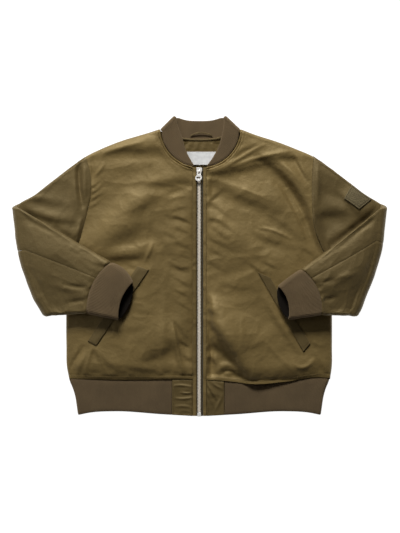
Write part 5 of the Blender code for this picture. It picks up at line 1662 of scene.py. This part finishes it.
def tooth(shell, x, y, side):
    """One metal tooth: a bar with a chamfered top and a nose towards the other row."""
    half_z = CHAIN_THICKNESS / 2
    rings = []
    for height, inset in ((-half_z, 0.0), (half_z - TOOTH_CHAMFER, 0.0), (half_z, 0.28)):
        half_y = TOOTH_WIDTH / 2 * (1 - inset * 0.6)
        ring = []
        for sign, outline in ((1, TOOTH_OUTLINE), (-1, TOOTH_OUTLINE[::-1])):
            for reach, wide in outline:
                along = reach * (1 - inset * 0.3) + inset * 0.5 - TOOTH_OVERLAP
                ring.append((x + side * along, y + sign * half_y * wide, CHAIN_MIDDLE + height))
        rings.append(ring)
    stack(shell, rings)


def fine_chain():
    shell = bmesh.new()
    for i in range(int((ZIP_TOP - ZIP_BOTTOM) / TOOTH_PITCH)):
        y = ZIP_BOTTOM + (i + 0.35) * TOOTH_PITCH
        tooth(shell, ZIP_X, y, LEFT)
        tooth(shell, ZIP_X, y + TOOTH_PITCH / 2, RIGHT)
    belongs(metal_piece("zip_teeth", shell, "teeth"), "jacket", ["zip_chain"])


def rounded(thing, width, segments=3):
    """Round a piece's edges off."""
    step = thing.modifiers.new("rounded", "BEVEL")
    step.width = width * MM
    step.segments = segments
    step.limit_method = "ANGLE"
    step.angle_limit = math.radians(40)
    return thing


def bake_modifiers(thing):
    evaluated = thing.evaluated_get(bpy.context.evaluated_depsgraph_get())
    mesh = bpy.data.meshes.new_from_object(evaluated)
    old = thing.data
    thing.modifiers.clear()
    thing.data = mesh
    bpy.data.meshes.remove(old)


def arc(x, y, half_x, half_y, start, end, steps):
    """Plan points round an arc, from one angle to another."""
    angles = [mix(start, end, step / steps) for step in range(steps + 1)]
    return [(x + half_x * math.cos(angle), y + half_y * math.sin(angle)) for angle in angles]


def rounded_rectangle(x, y, half_x, half_y, corner):
    points = []
    for quadrant, (sign_x, sign_y) in enumerate(((1, -1), (1, 1), (-1, 1), (-1, -1))):
        centre_x, centre_y = x + sign_x * (half_x - corner), y + sign_y * (half_y - corner)
        start = math.pi / 2 * (quadrant - 1)
        points += arc(centre_x, centre_y, corner, corner, start, start + math.pi / 2, 4)
    return points


def slider_outline():
    """Plan of a slider plate: broad shoulders at its crown, narrowing towards the pull."""
    half = SLIDER_WIDTH / 2
    low, high = SLIDER_Y
    shoulder, middle = half * SLIDER_SHOULDER, (low + high) / 2 + 0.6
    crown = arc(ZIP_X, high - 2.0, half, 2.0, 0, math.pi, 8)
    foot = arc(ZIP_X, low + 1.4, SLIDER_FOOT * half, 1.4, math.pi, 2 * math.pi, 6)
    return [*crown, (ZIP_X - shoulder, middle), *foot, (ZIP_X + shoulder, middle)]


def bridge_lines():
    """Outer and inner line of the slider's bridge, seen from the side."""
    lines = []
    for reach, rise in (
        (BRIDGE_HALF_SPAN + BRIDGE_BAR, BRIDGE_RISE),
        (BRIDGE_HALF_SPAN, BRIDGE_RISE - BRIDGE_BAR),
    ):
        line = []
        for step in range(BRIDGE_STEPS + 1):
            angle = math.pi * step / BRIDGE_STEPS
            lift = (rise + BRIDGE_SINK) * math.sin(angle) ** 0.55
            line.append((HINGE_Y - reach * math.cos(angle), SLIDER_TOP - BRIDGE_SINK + lift))
        lines.append(line)
    return lines


def slider_bridge():
    """Arch that the pull tab hangs on."""
    shell = bmesh.new()
    lines = bridge_lines()
    ends = []
    for x in (ZIP_X - BRIDGE_WIDTH / 2, ZIP_X + BRIDGE_WIDTH / 2):
        ends.append([[shell.verts.new((x * MM, y * MM, z * MM)) for y, z in line] for line in lines])
    near, far = ends
    for i in range(BRIDGE_STEPS):
        k = i + 1
        for line in (0, 1):
            shell.faces.new((near[line][i], near[line][k], far[line][k], far[line][i]))
        for outer, inner in ends:
            shell.faces.new((outer[i], outer[k], inner[k], inner[i]))
    for i in (0, BRIDGE_STEPS):
        shell.faces.new((near[0][i], far[0][i], far[1][i], near[1][i]))
    return metal_piece("slider_bridge", shell)


def fine_slider():
    top, low = CHAIN_MIDDLE + SLIDER_CLEAR, CHAIN_MIDDLE - SLIDER_CLEAR
    front = plate_piece("slider_plate", slider_outline(), top, SLIDER_TOP)
    belongs(rounded(front, 0.35), "jacket", ["zip_slider"])
    back = plate_piece("slider_back_plate", slider_outline(), low - PLATE, low)
    belongs(rounded(back, 0.3), "jacket")
    belongs(rounded(slider_bridge(), 0.22, 2), "jacket")
    post = [(ZIP_X + x, y) for x, y in SLIDER_POST]
    belongs(plate_piece("slider_post", post, low, top), "jacket")


def pull_outline():
    """Plan of the pull tab, hanging down from its hinge: a waist and a round end."""
    end_y = PULL_END_RADIUS - PULL_LENGTH
    flare = math.asin(PULL_WAIST / PULL_END_RADIUS) + math.radians(18)
    neck = [(PULL_WAIST - inset, PULL_BAR + y) for inset, y in PULL_NECK]
    outline = list(neck)
    for step in range(PULL_STEPS + 1):
        angle = mix(flare, 2 * math.pi - flare, step / PULL_STEPS)
        x, y = PULL_END_RADIUS * math.sin(angle), end_y + PULL_END_RADIUS * math.cos(angle)
        outline.append((x, y))
    outline += [(-x, y) for x, y in reversed(neck)]
    lean = math.tan(PULL_LEAN)
    return [(x + lean * y, y) for x, y in outline]


def cut_hole(piece, outline):
    tool = plate_piece("hole", outline, -3, 3)
    cut = piece.modifiers.new("hole", "BOOLEAN")
    cut.operation = "DIFFERENCE"
    cut.solver = "EXACT"
    cut.object = tool
    bake_modifiers(piece)
    bpy.data.objects.remove(tool, do_unlink=True)


def fine_pull():
    """Pull tab: a waisted plate with an eye round the bridge and a slot at its free end."""
    half = PULL_THICKNESS / 2
    pull = plate_piece("pull_tab", pull_outline(), -half, half)
    eye_wide, eye_far = PULL_EYE
    slot_wide, slot_tall = PULL_SLOT
    eye_y, eye_half = -(PULL_BAR + eye_far) / 2, (eye_far - PULL_BAR) / 2
    end_y = PULL_END_RADIUS - PULL_LENGTH
    end_x = math.tan(PULL_LEAN) * end_y
    cut_hole(pull, rounded_rectangle(0.0, eye_y, eye_wide / 2, eye_half, 0.9))
    cut_hole(pull, rounded_rectangle(end_x, end_y, slot_wide / 2, slot_tall / 2, 1.2))
    rounded(pull, 0.3, 2)
    bake_modifiers(pull)
    hinge = Vector((ZIP_X, HINGE_Y, SLIDER_TOP + (BRIDGE_RISE - BRIDGE_BAR) / 2)) * MM
    pull.data.transform(Matrix.Translation(hinge) @ Matrix.Rotation(-PULL_REST_TILT, 4, "X"))
    belongs(pull, "pull", ["zip_pull"])


def fine_zip_end():
    low, high = ZIP_BOX_END, ZIP_BOTTOM - SEAM_GAP
    half, middle = ZIP_BOX_THICKNESS / 2, (low + high) / 2
    outline = rounded_rectangle(ZIP_X, middle, CHAIN_WIDTH / 2, (high - low) / 2, 0.8)
    box = plate_piece("zip_end_box", outline, CHAIN_MIDDLE - half, CHAIN_MIDDLE + half)
    belongs(rounded(box, 0.3), "jacket", ["zip_box"])


# ---- stitching
STITCH_LENGTH = 2.4
STITCH_GAP = 0.8
STITCH_RADIUS = 0.26
STITCH_LIFT = 0.12
STRIP_LIFT = 0.1
STITCH_START = 0.6
# Each stitch has four rings of four points, by share of its length and how far they sink.
STITCH_RINGS = ((0.0, -0.35), (0.25, 0.0), (0.75, 0.0), (1.0, -0.35))
STITCH_TURNS = [math.pi / 4 + math.pi / 2 * turn for turn in range(4)]
UP = np.array([0.0, 0.0, 1.0])


def stitch_points(line, along, start):
    """Points of the four rings of one stitch."""
    at = start + STITCH_LENGTH * np.array([share for share, _ in STITCH_RINGS])
    middle = np.stack([np.interp(at, along, line[:, k]) for k in range(3)], axis=1)
    way = middle[-1] - middle[0]
    side = np.cross(way / np.linalg.norm(way), UP)
    side = side / np.linalg.norm(side)
    points = []
    for centre, (_, sink) in zip(middle, STITCH_RINGS):
        for angle in STITCH_TURNS:
            off = math.cos(angle) * side + math.sin(angle) * UP
            points.append(centre + sink * UP + STITCH_RADIUS * off)
    return points


def stitch_faces(base):
    """Faces of one stitch whose points start at base: its sides, then its ends."""
    faces = []
    for ring in range(base, base + 12, 4):
        for turn in range(4):
            a, b = ring + turn, ring + (turn + 1) % 4
            faces.append((a, b, b + 4, a + 4))
    faces.append((base + 3, base + 2, base + 1, base))
    faces.append((base + 12, base + 13, base + 14, base + 15))
    return faces


def stitches(name, runs, finish="thread"):
    """All the stitches of one kind in one mesh: small rods along lines on the cloth."""
    points, faces = [], []
    for line in runs:
        along = span(line, 0)
        for start in np.arange(STITCH_START, along[-1] - STITCH_LENGTH, STITCH_LENGTH + STITCH_GAP):
            faces += stitch_faces(len(points))
            points += stitch_points(line, along, start)
    mesh = bpy.data.meshes.new(name)
    mesh.from_pydata([tuple(point * MM) for point in points], [], faces)
    mesh.update()
    mesh.shade_smooth()
    belongs(add_object(name, mesh, FINISH[finish]), "jacket")


def placket_lines(side):
    ys = np.linspace(PLACKET_Y[0] + 1, PLACKET_Y[1] - 1, 600)
    for reach in (placket_inner(side) + STITCH_INSET, PLACKET_OUTER - STITCH_INSET):
        xs = np.full_like(ys, side * reach)
        yield xyz(xs, ys, placket_top(side, xs, ys) + STITCH_LIFT)


def neck_line(side):
    angle = np.linspace(math.radians(12), NECK_POINT_ANGLE - 0.05, 120)
    ring = NECK_RADIUS + 3.2
    xs = NECK_CENTRE[0] + side * ring * np.sin(angle)
    ys = NECK_CENTRE[1] - ring * np.cos(angle)
    return xyz(xs, ys, front_top(side, xs, ys) + STITCH_LIFT)


def hem_line(side, name):
    reach = np.linspace(FRONT_EDGE + 2, 205, 400)
    xs, ys = side * reach, read(HEM_SEAM, reach, name) + HEM_STRIP - 1.2
    return xyz(xs, ys, front_top(side, xs, ys) + STITCH_LIFT)


def welt_lines(side):
    top = WELT_GAP + WELT_THICKNESS - 0.3
    welt = plan_surface(lambda x, y: front_height(side, x, y) + top, WELTS[side])
    along, across = np.linspace(0.02, 0.98, 200), np.linspace(0.14, 0.86, 20)
    for u in (0.12, 0.88):
        yield welt(np.full_like(along, u), along) + STRIP_LIFT * UP
    for v in (0.014, 0.986):
        yield welt(across, np.full_like(across, v)) + STRIP_LIFT * UP


def tab_lines(side, name):
    outer = HEM_TAB_X[side]
    low, high = float(read(HEM_EDGE, outer, "y")) + 2.5, float(read(HEM_SEAM, outer, name)) - 3
    for reach in (PLACKET_OUTER + 2.5, outer - 1.8):
        yield xyz(side * reach, np.linspace(low, high, 60), 2 * HEM_RADIUS + STRIP_LIFT)


def front_stitches():
    runs = []
    for side, name in SIDES:
        runs += [*placket_lines(side), neck_line(side), hem_line(side, name)]
        runs += [*welt_lines(side), *tab_lines(side, name)]
    stitches("stitching_nylon", runs)


def patch_stitches():
    runs = []
    share = np.linspace(0.07, 0.93, 60)
    for inset in (0.075, 0.925):
        fixed = np.full_like(share, inset)
        for line in (patch_surface(fixed, share), patch_surface(share, fixed)):
            runs.append(line + (PATCH_GAP + PATCH_THICKNESS - 0.25) * UP)
    stitches("stitching_patch", runs)


def label_stitches():
    xs = np.linspace(LABEL_X[0] + 1, LABEL_X[1] - 1, 60)
    stitches("stitching_label", [xyz(xs, LABEL_Y[1] - 1.1, LABEL_TOP + STRIP_LIFT)], "label")


# ---- stage
FLOOR_HALF = 4.0
FLOOR_DROP = 0.0004
Lamp = namedtuple("Lamp", "name place size power")
LAMPS = (
    Lamp("key_from_the_collar", (-0.5, 3.4, 2.1), (1.6, 0.9), 186),
    Lamp("fill_from_the_left", (-1.2, 0.3, 1.3), (1.0, 1.0), 3.6),
)
WORLD_STRENGTH = 0.036
CAMERA_PLACE = (0.0008, -0.0008, 2.37)
CAMERA_LENS = 100.0
CAMERA_SENSOR = 36.0


def make_floor():
    made = Finish(
        "white_floor", Base_Color=(0.25, 0.25, 0.25, 1.0), Roughness=0.9,
        Specular_IOR_Level=0.0, Emission_Color=(1.0, 1.0, 1.0, 1.0), Emission_Strength=1.0,
    ).made
    corners = ((-1, -1), (1, -1), (1, 1), (-1, 1))
    points = [(x * FLOOR_HALF, y * FLOOR_HALF, -FLOOR_DROP) for x, y in corners]
    mesh = bpy.data.meshes.new("floor")
    mesh.from_pydata(points, [], [(0, 1, 2, 3)])
    add_object("floor", mesh, made)


def make_lights():
    """Two area lights that face the origin, and a dim white surround."""
    for row in LAMPS:
        lamp = bpy.data.lights.new(row.name, "AREA")
        lamp.shape = "RECTANGLE"
        lamp.size, lamp.size_y = row.size
        lamp.energy = row.power
        thing = bpy.data.objects.new(row.name, lamp)
        bpy.context.scene.collection.objects.link(thing)
        thing.location = row.place
        thing.rotation_euler = (-Vector(row.place)).to_track_quat("-Z", "Y").to_euler()
    world = bpy.data.worlds.new("studio")
    bpy.context.scene.world = world
    world.use_nodes = True
    background = world.node_tree.nodes["Background"]
    set_inputs(background, {"Color": (1, 1, 1, 1), "Strength": WORLD_STRENGTH})
    bpy.context.scene.view_settings.view_transform = "Standard"


def make_camera():
    lens = bpy.data.cameras.new("camera")
    lens.lens = CAMERA_LENS
    lens.sensor_width = CAMERA_SENSOR
    camera = bpy.data.objects.new("camera", lens)
    bpy.context.scene.collection.objects.link(camera)
    camera.location = CAMERA_PLACE
    bpy.context.scene.camera = camera


MAKING = (
    fine_back, fine_fronts, fine_sleeves, fine_cuffs, fine_hem, fine_hem_tabs, fine_collar,
    fine_plackets, fine_welts, fine_facing, fine_label, fine_neck_tape, fine_hanger, fine_patch,
    fine_tapes, fine_chain, fine_slider, fine_pull, fine_zip_end, front_stitches,
    patch_stitches, label_stitches, make_floor, make_lights, make_camera,
)
for make in MAKING:
    make()
